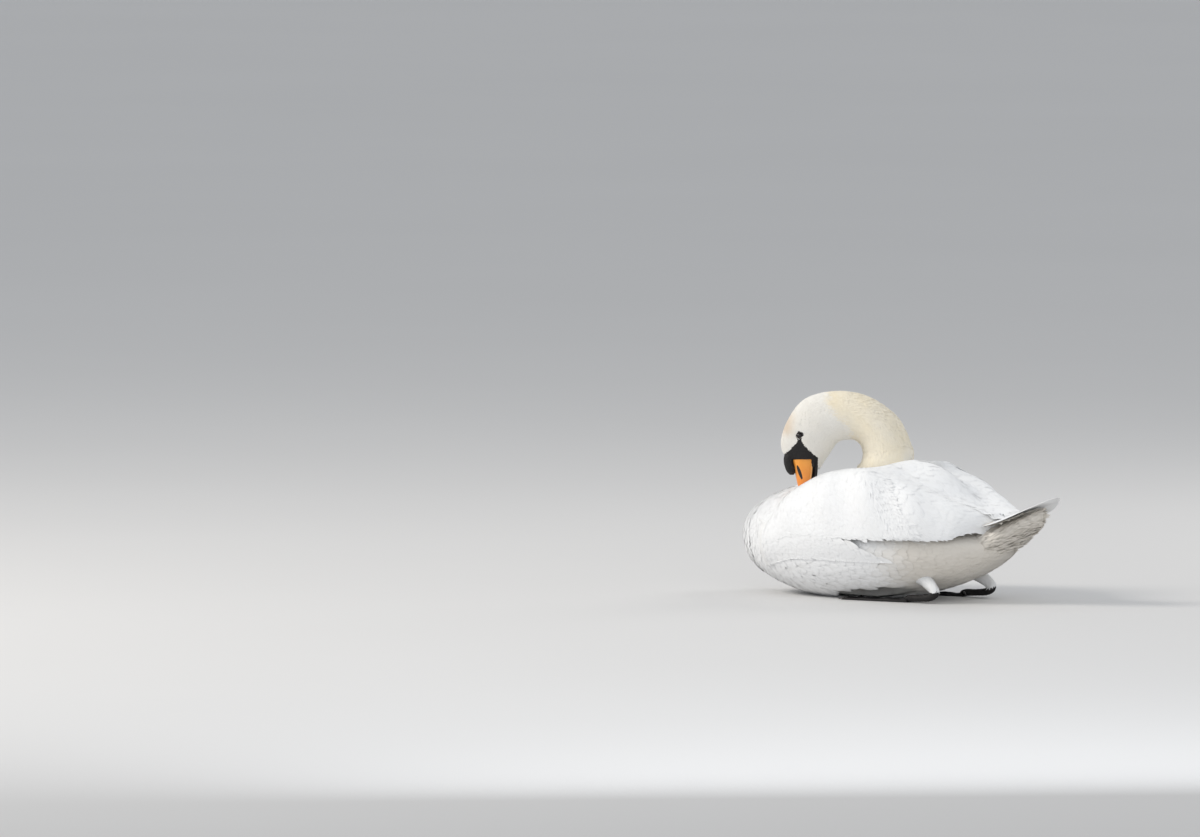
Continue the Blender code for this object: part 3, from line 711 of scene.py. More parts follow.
def body_skin(finish):
    """One skin over trunk, neck, head, wings and undertail: their solids joined by a voxel remesh,
    smoothed, and every point moved in along its normal by the coat's depth, which thins towards the
    face."""
    neck = ("neck_lower", "neck_middle", "neck_upper")
    flesh = ("trunk", *neck, "head", "wing_left", "wing_right", "undertail")
    shaped = bmesh.new()
    for name in flesh:
        shaped.from_mesh(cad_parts[name].data)
    bmesh.ops.remove_doubles(shaped, verts=shaped.verts, dist=0.00001)
    mesh = bpy.data.meshes.new("skin")
    shaped.to_mesh(mesh)
    shaped.free()
    draft = bpy.data.objects.new("skin_draft", mesh)
    bpy.context.scene.collection.objects.link(draft)
    fused = draft.modifiers.new("fused", "REMESH")
    fused.mode = "VOXEL"
    fused.voxel_size = SKIN_VOXEL
    soft = draft.modifiers.new("soft", "SMOOTH")
    soft.factor = 0.5
    soft.iterations = 4
    whole = bpy.data.meshes.new_from_object(draft.evaluated_get(bpy.context.evaluated_depsgraph_get()))
    bpy.data.objects.remove(draft)
    points = np.zeros(3 * len(whole.vertices), np.float32)
    whole.vertices.foreach_get("co", points)
    normals = np.zeros(3 * len(whole.vertices), np.float32)
    whole.vertex_normals.foreach_get("vector", normals)
    points = points.reshape(-1, 3)
    on_head = ease((-0.02 - points[:, 0]) / 0.05) * ease((points[:, 2] - WATERLINE - 0.14) / 0.04)
    depth = COAT_DEPTH + (FACE_DEPTH - COAT_DEPTH) * on_head
    depth = depth + BARE_DEPTH * on_head * ease((lore_depth(points) + 0.001) / 0.003)
    points = points - depth[:, None] * normals.reshape(-1, 3)
    points[:, 2] = np.maximum(points[:, 2], 0.0005)
    whole.vertices.foreach_set("co", points.ravel())
    whole.update()
    whole.shade_smooth()
    whole.materials.clear()
    whole.materials.append(finish)
    whole.name = "skin"
    made = bpy.data.objects.new("skin", whole)
    bpy.context.scene.collection.objects.link(made)
    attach(made, "root")
    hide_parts(*flesh)
    return made


# ---------------------------------------------------------------- marks by place


def face_place(points):
    """A point's place on the head: back along the head's plane, rise above the water, side to its left."""
    back = points[..., 0] * math.cos(ARCH_TURN) + points[..., 1] * math.sin(ARCH_TURN)
    side = points[..., 0] * math.sin(ARCH_TURN) - points[..., 1] * math.cos(ARCH_TURN) - ARCH_SIDE
    return back, points[..., 2] - WATERLINE, side


LORE_PEAK = (-0.1430, 0.2040)  # top of the bare black triangle between eye and bill: back, rise
LORE_HEIGHT = 0.037  # from its peak down to its corners
LORE_HALF = 0.0305  # half its width at the corners
LORE_BEND = 0.66  # its sides curve outwards on the way down as the drop to this power
CHIN_EDGE = -0.1064  # back, beyond which the face is feathered again
BILL_EDGE = -0.1165  # back, up to which the bill covers the face below its own top


def lore_depth(points):
    """How far a point lies inside the bare black face, in metres: below a peak whose sides fall away as a
    power of the distance from it, steepest at the peak, and ahead of the chin."""
    back, rise, _ = face_place(points)
    away = np.abs(back - LORE_PEAK[0]) / LORE_HALF
    return np.minimum(LORE_PEAK[1] - LORE_HEIGHT * away**LORE_BEND - rise, CHIN_EDGE - back)


ORANGE_TOP = 0.1612  # height, afloat, of the level line at which black skin gives way to the orange bill
UNDER_PAINTED_SHADE = 0.72  # most painted shade on the feathers under wings and tail, where they lie in shadow


CLEAN = {"cream": 0.0, "stain": 0.0, "painted_shade": 0.0}  # marks of a feather of the wings


def body_marks(points):
    """Marks of a feather of the body from its root's place: clean, greyed by painted shade under the wings
    and the tail.

    The painted shade is an eased step back along the body, by another down from its back."""
    low = WATERLINE + 0.034 + 0.090 * ease((points[:, 0] - 0.18) / 0.10)
    # painted shade: grey for feathers low on the body under the wings and, further back, under the tail,
    # where they lie in shadow
    painted_shade = ease((points[:, 0] - 0.05) / 0.12) * ease((low - points[:, 2]) / 0.014)
    return {"cream": 0.0, "stain": 0.0, "painted_shade": UNDER_PAINTED_SHADE * painted_shade}


def neck_marks(points):
    """Marks of a tuft of the neck or head: cream up the neck, white face, ochre stain on the forehead.

    Each is an eased step along the head's plane; the border on the cheek wanders by sines of place and
    by chance."""
    back, rise, _ = face_place(points)
    up = ease((points[:, 2] - WATERLINE - 0.105) / 0.05) * ease((0.080 - points[:, 0]) / 0.02)
    wander = 0.0030 * np.sin(310 * rise + 170 * back) + chance.normal(0, 0.0032, len(points))
    cheek_line = -0.049 - 0.046 * ease((rise - 0.205) / 0.066) + wander
    patchy = 0.86 + 0.10 * np.sin(95 * back + 60 * points[:, 2]) * np.sin(70 * rise + 1.0)
    cream = up * (0.30 + 0.56 * patchy * ease((back - cheek_line + 0.010) / 0.020))
    stain = 0.42 * ease((rise - 0.190) / 0.025) * ease((-0.146 - back) / 0.024) * ease((0.262 - rise) / 0.03)
    return {"cream": cream, "stain": stain, "painted_shade": 0.0}


def inside_trunk(points):
    """True where a point is inside the trunk: its section there is an oval."""
    x = points[:, 0]
    t = np.clip((x - BREAST_X) / (VENT_X - BREAST_X), 0.001, 0.999)
    u = np.arccos(1 - 2 * t) / math.pi
    width = np.abs(trunk_form(u, 0 * u)[:, 1])
    top = trunk_form(u, 0 * u + math.pi / 2)[:, 2] - WATERLINE - WIDEST_Z
    high = points[:, 2] - WATERLINE - WIDEST_Z
    inside = (points[:, 1] / width) ** 2 + (high / np.where(high > 0, top, KEEL)) ** 2 < 0.70
    return inside & (x > BREAST_X) & (x < VENT_X)


# ---------------------------------------------------------------- coat of the neck and head

NECK_LIMITS = (0.0, NECK_ROWS - 1.0, 0.01, 0.01)  # least and most u, and the steps for slopes
TRUNK_LIMITS = (0.001, 0.999, 0.002, 0.01)
WING_LIMITS = (0.0, 1.0, 0.004, 0.01)


NECK_SIZES = (
    # place along the neck; length, width and tip lift of its tufts
    (0.0, 0.0170, 0.0056, 0.0012),
    (5.0, 0.0135, 0.0048, 0.0008),
    (8.0, 0.0100, 0.0042, 0.0006),
    (10.5, 0.0085, 0.0039, 0.0005),
    (16.0, 0.0066, 0.0034, 0.0004),
)


def neck_lot(u, v, shape):
    """Tufts on the neck or head, lying down the neck towards the body, sized by their place along it and
    standing out a little more on the outer line."""
    roots = neck_form(u, v)
    back, rise, _ = face_place(roots)
    eye_back, eye_rise, _ = face_place(EYE_PLACE)
    off_eye = np.hypot(back - eye_back - EYE_SHIFT, rise - eye_rise)
    bare = (u > 9) & ((lore_depth(roots) > 0.0005) | (off_eye < EYE_RADIUS * 1.12))
    seen = ~bare & ~inside_trunk(roots)
    u, v, roots = u[seen], v[seen], roots[seen]
    flow = -np.stack([np.interp(u, NECK_FINE, column) for column in NECK_AHEAD.T], axis=-1)
    size = chance.uniform(0.8, 1.2, len(u))
    sizes = np.array(NECK_SIZES)
    length, width, lift = (np.interp(u, sizes[:, 0], column) for column in sizes[:, 1:].T)
    ragged = 1 + 1.0 * ease((np.cos(v) - 0.3) / 0.5)
    place = unwrapped(u / NECK_ROWS, v)
    return grow(
        neck_form, -1, u, v, flow, length * size, width * size, shape, -0.0008,
        lift * ragged * chance.uniform(0.3, 1.4, len(u)), NECK_LIMITS, place, neck_marks(roots),
        spread=0.11, curve=0.07,
    )


def neck_coat(finish):
    """Soft locks from the body up to the nape, in two pieces, and small tufts over the head."""
    full_turn = (0, 2 * math.pi)
    low = neck_lot(*staggered((0.0, 6.0), 104, full_turn, 66), LOCK)
    arch = neck_lot(*staggered((5.3, 10.2), 73, full_turn, 74), LOCK)
    top = neck_lot(*staggered((9.8, 16.0), 130, full_turn, 96), TUFT)
    coat_piece("neck_base_feathers", [low], finish)
    coat_piece("neck_feathers", [arch], finish)
    coat_piece("head_feathers", [top], finish)


# ---------------------------------------------------------------- coat of the trunk


def trunk_lot(u, v, length, width, shape, tip_lift, **bent):
    """Contour feathers on the trunk, lying back from the breast, none in the oval hollows the feet lie
    in."""
    roots = trunk_form(u, v)
    bed = np.hypot(
        (roots[:, 0] - FOOT_HEEL_X + FOOT_LENGTH / 2) / (0.84 * FOOT_LENGTH),
        (np.abs(roots[:, 1]) - FOOT_Y) / (1.6 * FOOT_HALF),
    )
    kept = np.hypot(bed, roots[:, 2] / 0.026) > 1
    u, v, roots = u[kept], v[kept], roots[kept]
    flow = np.column_stack([1 + 0 * u, 0 * u, 0 * u])
    size = chance.uniform(0.85, 1.15, len(u)) * (1 - 0.55 * ease((u - 0.70) / 0.22))
    # body_marks lays painted shade on the flank and rear feathers under the wings and the tail
    return grow(
        trunk_form, -1, u, v, flow, length * size, width * size, shape, -0.0010,
        tip_lift * chance.uniform(0.5, 1.4, len(u)), TRUNK_LIMITS, unwrapped(u, v), body_marks(roots), **bent
    )


def sheet_lot(form, outward, u, v, flow, length, width, shape, lifts, spread):
    """Feathers on a small sheet of the plumage, lying along one flow."""
    place = np.column_stack([0.02 + 0.96 * np.clip(u, 0, 1), 0.50 + 0.46 * np.clip(v, -1, 1)])
    size = chance.uniform(0.85, 1.2, len(u))
    lie = np.zeros((len(u), 3)) + flow
    return grow(
        form, outward, u, v, lie, length * size, width * size, shape, lifts[0],
        lifts[1] * chance.uniform(0.5, 1.5, len(u)), (-0.2, 1.2, 0.004, 0.01), place, CLEAN,
        spread=spread, curve=0.08,
    )


def back_coat(finish):
    """Feathers of the bed on both sides of the neck, and of the saddle that closes over the wings'
    inner edges."""
    lots = []
    for hand in (-1, 1):
        u, v = staggered((-0.05, 1.0), 26, (-0.05, 1.0), 9)
        flow = (0.75, -0.45 * hand, -0.25)
        lots.append(sheet_lot(bed_form(hand), hand, u, v, flow, 0.036, 0.014, PLUME, (0.0, 0.0014), 0.14))
    u, v = staggered((-0.02, 0.97), 30, (-1.0, 1.0), 13)
    lots.append(sheet_lot(back_form, 1, u, v, (1.0, 0.0, -0.2), 0.036, 0.0135, PLUME, (0.0006, 0.0014), 0.10))
    coat_piece("back_feathers", lots, finish)


def trunk_coat(finish):
    """Breast, flank and belly feathers, growing longer towards the rear; a few laid down over the breast's
    foremost point; and longer ones at the sides, which close over the fronts of the wings."""
    full_turn = (0, 2 * math.pi)
    u, v = staggered((0.01, 0.34), 32, full_turn, 96)
    breast = [trunk_lot(u, v, 0.022, 0.0110, PLUME, 0.0005, spread=0.10)]
    u, v = staggered((0.30, 0.93), 35, full_turn, 92)
    flank = [trunk_lot(u, v, 0.038, 0.0145, PLUME, 0.0006, spread=0.12)]
    u, v = staggered((0.002, 0.030), 5, full_turn, 18)
    down = np.column_stack([0.1 + 0 * u, 0 * u, -1 + 0 * u])
    breast.append(
        grow(
            trunk_form, -1, u, v, down, 0.017 + 0 * u, 0.0110 + 0 * u, PLUME, 0.0, 0.0008 + 0 * u,
            TRUNK_LIMITS, unwrapped(u, v), CLEAN, spread=0.25,
        )
    )
    coat_piece("breast_feathers", breast, finish)
    sides = []
    for start, end in ((-0.95, 0.75), (math.pi - 0.75, math.pi + 0.95)):
        u, v = staggered((0.124, 0.174), 5, (start, end), 34)
        sides.append(trunk_lot(u, v, 0.040, 0.0120, PLUME, 0.0017, spread=0.14))
    coat_piece("side_feathers", sides, finish)
    coat_piece("flank_feathers", flank, finish)


# ---------------------------------------------------------------- coat of the wings


def wing_flow(roots, v, hand):
    """Lie of the wing's feathers: back along the body, turning down towards the hem, most of all behind the
    shoulder, and in towards the middle of the back beyond the ridge."""
    x = roots[:, 0]
    outer = 1 - ease((v - 0.75) / 0.45)
    hang = outer * (0.22 + 0.80 * ease((x + 0.04) / 0.10) * (1 - ease((x - 0.15) / 0.11)))
    inward = 0.10 + 0.25 * ease((v - 1.0) / 0.6)
    return np.column_stack([1 + 0 * x, -0.25 * hand * inward, -hang])


def wing_lot(hand, u, v, length, width, shape, root_lift, tip_lift, **bent):
    """Feathers on one wing, lying along its flow."""
    form = wing_form(hand)
    roots = form(u, v)
    lie = wing_flow(roots, v, hand)
    size = chance.uniform(0.9, 1.1, len(u))
    place = np.column_stack([0.02 + 0.46 * u + (0.5 if hand > 0 else 0), 0.02 + 0.48 * v])
    return grow(
        form, -hand, u, v, lie, length * size, width * size, shape, root_lift,
        tip_lift * chance.uniform(0.7, 1.3, len(u)), WING_LIMITS, place, CLEAN, **bent
    )


LONG_FEATHERS = (
    # ends along it, rows, ends over it, columns; length, width, blade, root lift, tip lift, spread, curve
    (((0.46, 0.84), 6, (0.30, 1.75), 14), 0.100, 0.024, QUILL, -0.0018, 0.0006, 0.03, 0.03),
    (((0.20, 0.84), 16, (0.24, 1.98), 30), 0.062, 0.018, QUILL, -0.0014, 0.0007, 0.07, 0.05),
    (((0.76, 0.99), 10, (0.05, 1.98), 24), 0.040, 0.014, PLUME, -0.0012, 0.0004, 0.07, 0.05),
)


def wing_coat(name, hand, finish, long_finish):
    """A folded wing: long quills at the rear, over them the scapulars, over those the small coverts,
    and at the front the side feathers of the breast, which close over the hem down to a slanting
    edge."""
    lots = []
    for grid, length, width, shape, root_lift, tip_lift, spread, curve in LONG_FEATHERS:
        u, v = staggered(*grid)
        lots.append(
            wing_lot(hand, u, v, length, width, shape, root_lift, tip_lift, spread=spread, curve=curve)
        )
    coat_piece(f"{name}_quills", lots, long_finish)
    u, v = staggered((WING_FIRST, 0.58), 39, (0.0, 1.98), 56)
    kept = (u > 0.005) | (v < 0.97)
    u, v = u[kept], v[kept]
    small = [wing_lot(hand, u, v, 0.036, 0.0135, PLUME, -0.0010, 0.0006, spread=0.09, curve=0.07)]
    u, v = staggered((WING_FIRST, 0.64), 38, (-0.95, 0.10), 18)
    kept = WING_FRONT_X + (WING_END_X - WING_FRONT_X) * u < 0.040 - 0.10 * v
    u, v = u[kept], v[kept]
    small.append(wing_lot(hand, u, v, 0.034, 0.0110, PLUME, -0.0010, 0.0005, spread=0.12, curve=0.08))
    coat_piece(f"{name}_coverts", small, finish)
    u, v = staggered((0.38, 0.99), 120, (0.0, 0.36), 10)
    hem = [wing_lot(hand, u, v, 0.024, 0.0050, LOCK, -0.0008, 0.0006, spread=0.22, curve=0.14)]
    u, v = staggered((0.0, 1.0), 90, (-0.5, 0.5), 7)
    hem.append(
        wing_lot(hand, 0.50 + 0.22 * (1 - u) + 0.09 * v, 0.10 + 0.80 * u, 0.036, 0.0052, LOCK, -0.0004,
                 0.0024, spread=0.15, curve=0.14)
    )
    coat_piece(f"{name}_fringe", hem, finish)


# ---------------------------------------------------------------- tail


def tail_form(u, v):
    """Fan of the tail: u along it, v across from -1 to 1, widening to the tip and arched down at its
    sides."""
    length = (TAIL_TIP_X - TAIL_ROOT_X) - 0.050 * np.abs(v) ** 1.7 - 0.004
    x = TAIL_ROOT_X + u * length
    fan = 0.030 + (TAIL_HALF_WIDTH - 0.030) * np.clip(u, 0, 1) ** 0.8
    y = fan * v
    return np.stack([x, y, tail_line(x) - TAIL_ARCH * y**2 + WATERLINE], axis=-1)


def tail_feathers(finish):
    """Twenty-two stiff quills, the middle ones on top, each running the fan's whole length."""
    count = 22
    v = np.linspace(-0.86, 0.86, count)
    u = 0.04 + 0 * v
    along, _, _ = slopes(tail_form, u, v, 0.004, 0.01)
    length = np.linalg.norm(tail_form(0.985 + 0 * v, v) - tail_form(u, v), axis=1)
    stack = 0.0030 * (1 - np.abs(v))
    parts = []
    for k in range(count):
        pick = slice(k, k + 1)
        parts.append(
            grow(
                tail_form, 1, u[pick], v[pick], along[pick], length[pick], 0.022 + 0 * v[pick], QUILL,
                stack[k], stack[pick], (0.0, 1.0, 0.004, 0.01),
                np.column_stack([0.1 + 0 * v[pick], 0.5 + 0.4 * v[pick]]),
                CLEAN, spread=0.01, curve=0.01,
            )
        )
    made = coat_piece("tail_feathers", parts, finish, ("tail",))
    return made


def tail_coverts(finish):
    """Soft feathers over the tail's root, and longer wavy ones under it."""
    u, v = staggered((0.0, 0.98), 27, (0, 2 * math.pi), 46)
    roots = undertail_form(u, v)
    flow = np.column_stack([1 + 0 * u, 0.15 * np.sign(roots[:, 1]), 0.55 - 0.25 * u])
    # body_marks lays painted shade on the feathers under the tail
    under = grow(
        undertail_form, -1, u, v, flow, 0.036 * (1 - 0.45 * u**2) * chance.uniform(0.8, 1.2, len(u)),
        0.0085 + 0 * u, LOCK, -0.001, 0.0044 * chance.uniform(0.3, 1.8, len(u)), (0.0, 0.99, 0.004, 0.01),
        unwrapped(u, v), body_marks(roots), spread=0.22, curve=0.16,
    )
    u, v = staggered((-0.04, 0.34), 10, (-1.0, 1.0), 16)
    roots = tail_form(u, v)
    flow = np.column_stack([1 + 0 * u, 0.5 * roots[:, 1] / TAIL_HALF_WIDTH, 0.3 + 0 * u])
    place = np.column_stack([0.10 + 0.3 * u, 0.5 + 0.4 * v])
    over = grow(
        tail_form, 1, u, v, flow, 0.046 + 0 * u, 0.016 + 0 * u, PLUME, 0.0010, 0.0010 + 0.004 * ease(0.4 - u),
        (-0.3, 1.0, 0.004, 0.01), place, body_marks(roots), spread=0.12, curve=0.08,
    )
    u, v = staggered((0.28, 0.66), 10, (-0.96, 0.96), 26)
    roots = tail_form(u, v)
    flow = np.column_stack([1 + 0 * u, 0.4 * roots[:, 1] / TAIL_HALF_WIDTH, 0.3 + 0 * u])
    place = np.column_stack([0.10 + 0.3 * u, 0.5 + 0.4 * v])
    beneath = grow(
        tail_form, -1, u, v, flow, 0.038 * chance.uniform(0.7, 1.2, len(u)), 0.0075 + 0 * u, LOCK, 0.0015,
        0.0050 * chance.uniform(0.4, 1.3, len(u)), (0.0, 1.0, 0.004, 0.01), place, body_marks(roots),
        spread=0.16, curve=0.12,
    )
    coat_piece("tail_coverts", [under, over, beneath], finish)


# ---------------------------------------------------------------- face


def tube_piece(name, rings, finish, replaced=(), marks=None, crease=60):
    """A closed piece over a grid of rings, each end drawn to the middle of its last ring."""
    rings = np.asarray(rings)
    count, around, _ = rings.shape
    points = capped(rings)
    faces = outward_faces(points, tube_faces(count, around))
    made = mesh_piece(name, points, faces, finish, replaced, crease)
    for mark, grid in (marks or {}).items():
        values = np.concatenate([[grid[0].mean()], grid.ravel(), [grid[-1].mean()]])
        keep_mark(made, mark, values)
    return made


def black_skin_finish():
    """Bare black skin: near black, greyer on the fine wrinkles, matt with a little sheen."""
    made, tree, surface = shader("bare black skin", 0.60, Specular_IOR_Level=0.28)
    place = place_of(tree)
    cells = node(tree, "ShaderNodeTexVoronoi", {"Vector": place, "Scale": 900.0}, feature="F1")
    grain = cells.outputs["Distance"]
    folds = noise_of(tree, place, 240.0, 4.0)
    height = math_of(tree, "MULTIPLY_ADD", folds, 0.8, grain)
    share = ramp_of(tree, height, 0.4, 1.2, 0.0, 1.0)
    colour = blend_of(tree, share, (0.005, 0.005, 0.006, 1), (0.022, 0.020, 0.020, 1))
    dress(tree, surface, colour, height, 0.45, 0.0005)
    return made


def face_skin(finish):
    """Bare skin of the lores: the head's own form from before the eye to the bill, sunk just under the
    tufts."""
    u, v = round_grid(np.linspace(12.6, NECK_ROWS - 1.0, 70), 96)
    rings = neck_form(u, v)
    back, rise, _ = face_place(rings)
    under_bill = ease((ORANGE_TOP - rise) / 0.0012) * ease((BILL_EDGE - back) / 0.0012)
    sunk = 0.0007 + 0.0022 * ease(-lore_depth(rings) / 0.003) + 0.0060 * under_bill
    return tube_piece("lores", sunk_by(rings, sunk), finish)


BILL_UPPER = (
    # culmen: back, height; cutting edge: back, height; half width
    (-0.160, 0.184, -0.110, 0.170, 0.0195),
    (-0.157, 0.165, -0.110, 0.157, 0.0188),
    (-0.1525, 0.147, -0.112, 0.135, 0.0170),
    (-0.1492, 0.130, -0.1135, 0.122, 0.0158),
    (-0.145, 0.110, -0.116, 0.106, 0.0152),
    (-0.140, 0.092, -0.1195, 0.090, 0.0150),
    (-0.135, 0.080, -0.1225, 0.078, 0.0130),
    (-0.131, 0.0735, -0.1255, 0.0725, 0.0070),
)
BILL_LOWER = (
    (-0.1120, 0.1600, -0.1065, 0.1560, 0.0172),
    (-0.1140, 0.1435, -0.1070, 0.1400, 0.0165),
    (-0.1150, 0.1260, -0.1085, 0.1240, 0.0152),
    (-0.1165, 0.1080, -0.1105, 0.1070, 0.0140),
    (-0.1185, 0.0920, -0.1140, 0.0915, 0.0130),
    (-0.1212, 0.0810, -0.1180, 0.0800, 0.0100),
    (-0.1236, 0.0760, -0.1222, 0.0755, 0.0050),
)


def bill_rings(stations, count, around, boxy):
    """Sections of half the bill: cosine from the outer to the inner line, sine across, each to a boxy
    power."""
    rows = through(stations, np.linspace(0, len(stations) - 1, count))
    turn = 2 * math.pi * np.arange(around) / around
    outer = upright_plane(rows[:, 0], rows[:, 1])
    inner = upright_plane(rows[:, 2], rows[:, 3])
    side = np.array([math.sin(ARCH_TURN), -math.cos(ARCH_TURN), 0])
    deep = signed_power(np.cos(turn), boxy)[None, :, None] * ((outer - inner) / 2)[:, None]
    wide = (signed_power(np.sin(turn), boxy)[None] * rows[:, 4:5])[..., None] * side
    return ((outer + inner) / 2)[:, None] + deep + wide


NOSTRIL = (-0.1420, 0.1360)  # middle of the slit: back, rise
NOSTRIL_HALF = 0.0132  # half its length
TOMIUM = 0.0056  # width of the black cutting edge


def bill_finish():
    """Orange horn turning redder to the tip, black where the mark says, with fine long lines and a soft
    gloss."""
    made, tree, surface = shader("orange bill", 0.42, Coat_Weight=0.12, Coat_Roughness=0.3)
    place = place_of(tree)
    high = node(tree, "ShaderNodeSeparateXYZ", {0: place}).outputs["Z"]
    toward_tip = ramp_of(tree, high, 0.262, 0.18, 0.0, 1.0)
    blotch = noise_of(tree, place, 90.0, 5.0)
    orange = blend_of(tree, toward_tip, (0.95, 0.40, 0.060, 1), (0.86, 0.20, 0.030, 1))
    orange = blend_of(tree, math_of(tree, "MULTIPLY", blotch, 0.35), orange, (0.72, 0.24, 0.04, 1))
    pale = math_of(tree, "MULTIPLY", mark_of(tree, "pale"), 0.75)
    orange = blend_of(tree, pale, orange, (0.90, 0.62, 0.30, 1))
    black = mark_of(tree, "black")
    edge = ramp_of(tree, black, 0.35, 0.65, 0.0, 1.0)
    colour = blend_of(tree, edge, orange, (0.012, 0.010, 0.010, 1))
    stretched = node(tree, "ShaderNodeMapping", {0: place, 3: (1400.0, 1400.0, 160.0)}).outputs[0]
    lines = noise_of(tree, stretched, 1.0, 2.0)
    dress(tree, surface, colour, lines, 0.25, 0.0003)
    return made


def bill(finish, black):
    """Upper half with a sunk nostril slit, black cutting edge and black nail, and the narrower lower
    half."""
    rings = bill_rings(BILL_UPPER, 150, 112, 0.8)
    back, rise, side = face_place(rings)
    along_slit = np.clip((rise - NOSTRIL[1]) / NOSTRIL_HALF, -1, 1)
    slit_width = 0.0032 * np.sqrt(1 - along_slit**2) + 0.0001
    off_slit = np.abs(back - (NOSTRIL[0] - 0.0046 * along_slit)) / slit_width
    slit = (1 - ease((off_slit - 0.6) / 0.8)) * (np.abs(along_slit) < 1) * (np.abs(side) > 0.004)
    rings = sunk_by(rings, 0.0016 * slit)
    edge_line = through(BILL_UPPER, np.linspace(0, len(BILL_UPPER) - 1, 150))
    from_edge = np.linalg.norm(
        np.stack([back - edge_line[:, 2:3], rise - edge_line[:, 3:4]], axis=-1), axis=-1
    )
    tomium = 1 - ease((from_edge - TOMIUM) / 0.0012)
    nail = ease((0.0855 - rise) / 0.0030) * ease((-0.1262 - back) / 0.0020)
    base = ease((rise - ORANGE_TOP) / 0.0014)
    pale = (1 - ease(np.abs(from_edge - TOMIUM - 0.0022) / 0.0016))
    rings_marks = {"black": np.clip(np.maximum.reduce([tomium, nail, slit, base]), 0, 1), "pale": pale}
    tube_piece("bill_top", rings, finish, ("bill_upper",), rings_marks)
    tube_piece("bill_under", bill_rings(BILL_LOWER, 60, 48, 0.8), black, ("bill_lower",))


# The lobe over the bill's root, from its top, hidden in the black face, to its rounded lower end.
KNOB_ROWS = (
    # height; front: back; rear: back; half width
    (0.188, -0.1590, -0.1400, 0.0080),
    (0.178, -0.1655, -0.1400, 0.0125),
    (0.168, -0.1705, -0.1460, 0.0145),
    (0.156, -0.1715, -0.1525, 0.0135),
    (0.145, -0.1697, -0.1480, 0.0125),
    (0.136, -0.1655, -0.1490, 0.0100),
    (0.1305, -0.1605, -0.1525, 0.0055),
)


def knob_piece(finish):
    """Fleshy lobe: level ovals through the rows, with shallow folds as sines round and along it."""
    rows = through(KNOB_ROWS, np.linspace(0, len(KNOB_ROWS) - 1, 64))
    turn = 2 * math.pi * np.arange(72) / 72
    u = np.linspace(0, 1, 64)[:, None]
    folds = 1 + 0.020 * np.sin(16 * u + 1.2 * np.sin(3 * turn)) + 0.014 * np.sin(6 * turn + 5 * u)
    half = (rows[:, 2] - rows[:, 1])[:, None] / 2 * folds
    back = (rows[:, 1] + rows[:, 2])[:, None] / 2 + half * np.cos(turn)
    side = rows[:, 3:4] * folds * np.sin(turn)
    points = upright_plane(back, rows[:, 0:1] + 0 * back, side)
    tube_piece("knob_lobe", points, finish, ("knob",))


def eye_finish():
    """Wet dark brown eye: brown iris ring round a black pupil by distance from the eye's own axis."""
    made, tree, surface = shader(
        "dark eye", 0.10, Specular_IOR_Level=0.25, Coat_Weight=0.5, Coat_Roughness=0.02
    )
    ring = mark_of(tree, "ring")
    iris = ramp_of(tree, ring, 0.42, 0.52, 0.0, 1.0)
    rim = ramp_of(tree, ring, 0.80, 0.95, 0.0, 1.0)
    place = place_of(tree)
    fleck = noise_of(tree, place, 1500.0, 3.0)
    brown = blend_of(tree, fleck, (0.005, 0.003, 0.002, 1), (0.016, 0.008, 0.004, 1))
    colour = blend_of(tree, iris, (0.002, 0.002, 0.002, 1), brown)
    colour = blend_of(tree, rim, colour, (0.004, 0.003, 0.003, 1))
    dress(tree, surface, colour)
    return made


def eyes(finish, lid_finish):
    """Each eye a ball with a slightly raised front; round it a lid, a closed ring leaning with the
    cheek and drawn to a point over and under the eye by powers of a cosine."""
    left = np.array([math.sin(ARCH_TURN), -math.cos(ARCH_TURN), 0])
    ahead = np.array([math.cos(ARCH_TURN), math.sin(ARCH_TURN), 0])
    up = np.array([0.0, 0.0, 1.0])
    for side, hand in (("left", 1), ("right", -1)):
        low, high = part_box(f"eye_{side}")
        centre = (np.array(low) + np.array(high)) / 2 + EYE_SHIFT * ahead
        u, v = round_grid(np.linspace(0.02, math.pi - 0.02, 40), 48)
        bulge = 1 + 0.05 * np.exp(-((u / 0.6) ** 2))
        out = EYE_RADIUS * 0.985 * np.cos(u) * bulge
        round_a = EYE_RADIUS * 0.985 * np.sin(u) * np.cos(v)
        round_b = EYE_RADIUS * 0.985 * np.sin(u) * np.sin(v)
        ball = centre + out[..., None] * left * hand + round_a[..., None] * ahead + round_b[..., None] * up
        ring = np.where(u < math.pi / 2, np.sin(u), 1.0)
        tube_piece(f"eyeball_{side}", ball, finish, (f"eye_{side}",), {"ring": ring})
        turn = np.linspace(0, 2 * math.pi, 64, endpoint=False)
        small = np.linspace(0, 2 * math.pi, 12, endpoint=False)
        over = 0.34 * np.clip(np.cos(turn - 1.3), 0, 1) ** 8
        drawn = 1 + over + 0.30 * np.clip(np.cos(turn + 1.6), 0, 1) ** 6
        radius = EYE_RADIUS * 0.96 * drawn
        thick = 0.0014 * (1 + 0.35 * np.sin(turn) ** 2)
        a, b = np.meshgrid(turn, small, indexing="ij")
        across = radius[:, None] + thick[:, None] * np.cos(b)
        rise_out = EYE_RADIUS * 0.34 + thick[:, None] * np.sin(b) - 0.0030 * (drawn[:, None] - 1)
        rise_out = rise_out + 0.0017 * np.cos(a)
        lid = centre + (across * np.cos(a))[..., None] * ahead + (across * np.sin(a))[..., None] * up
        lid = lid + rise_out[..., None] * left * hand
        ring_piece(f"lid_{side}", lid, lid_finish)


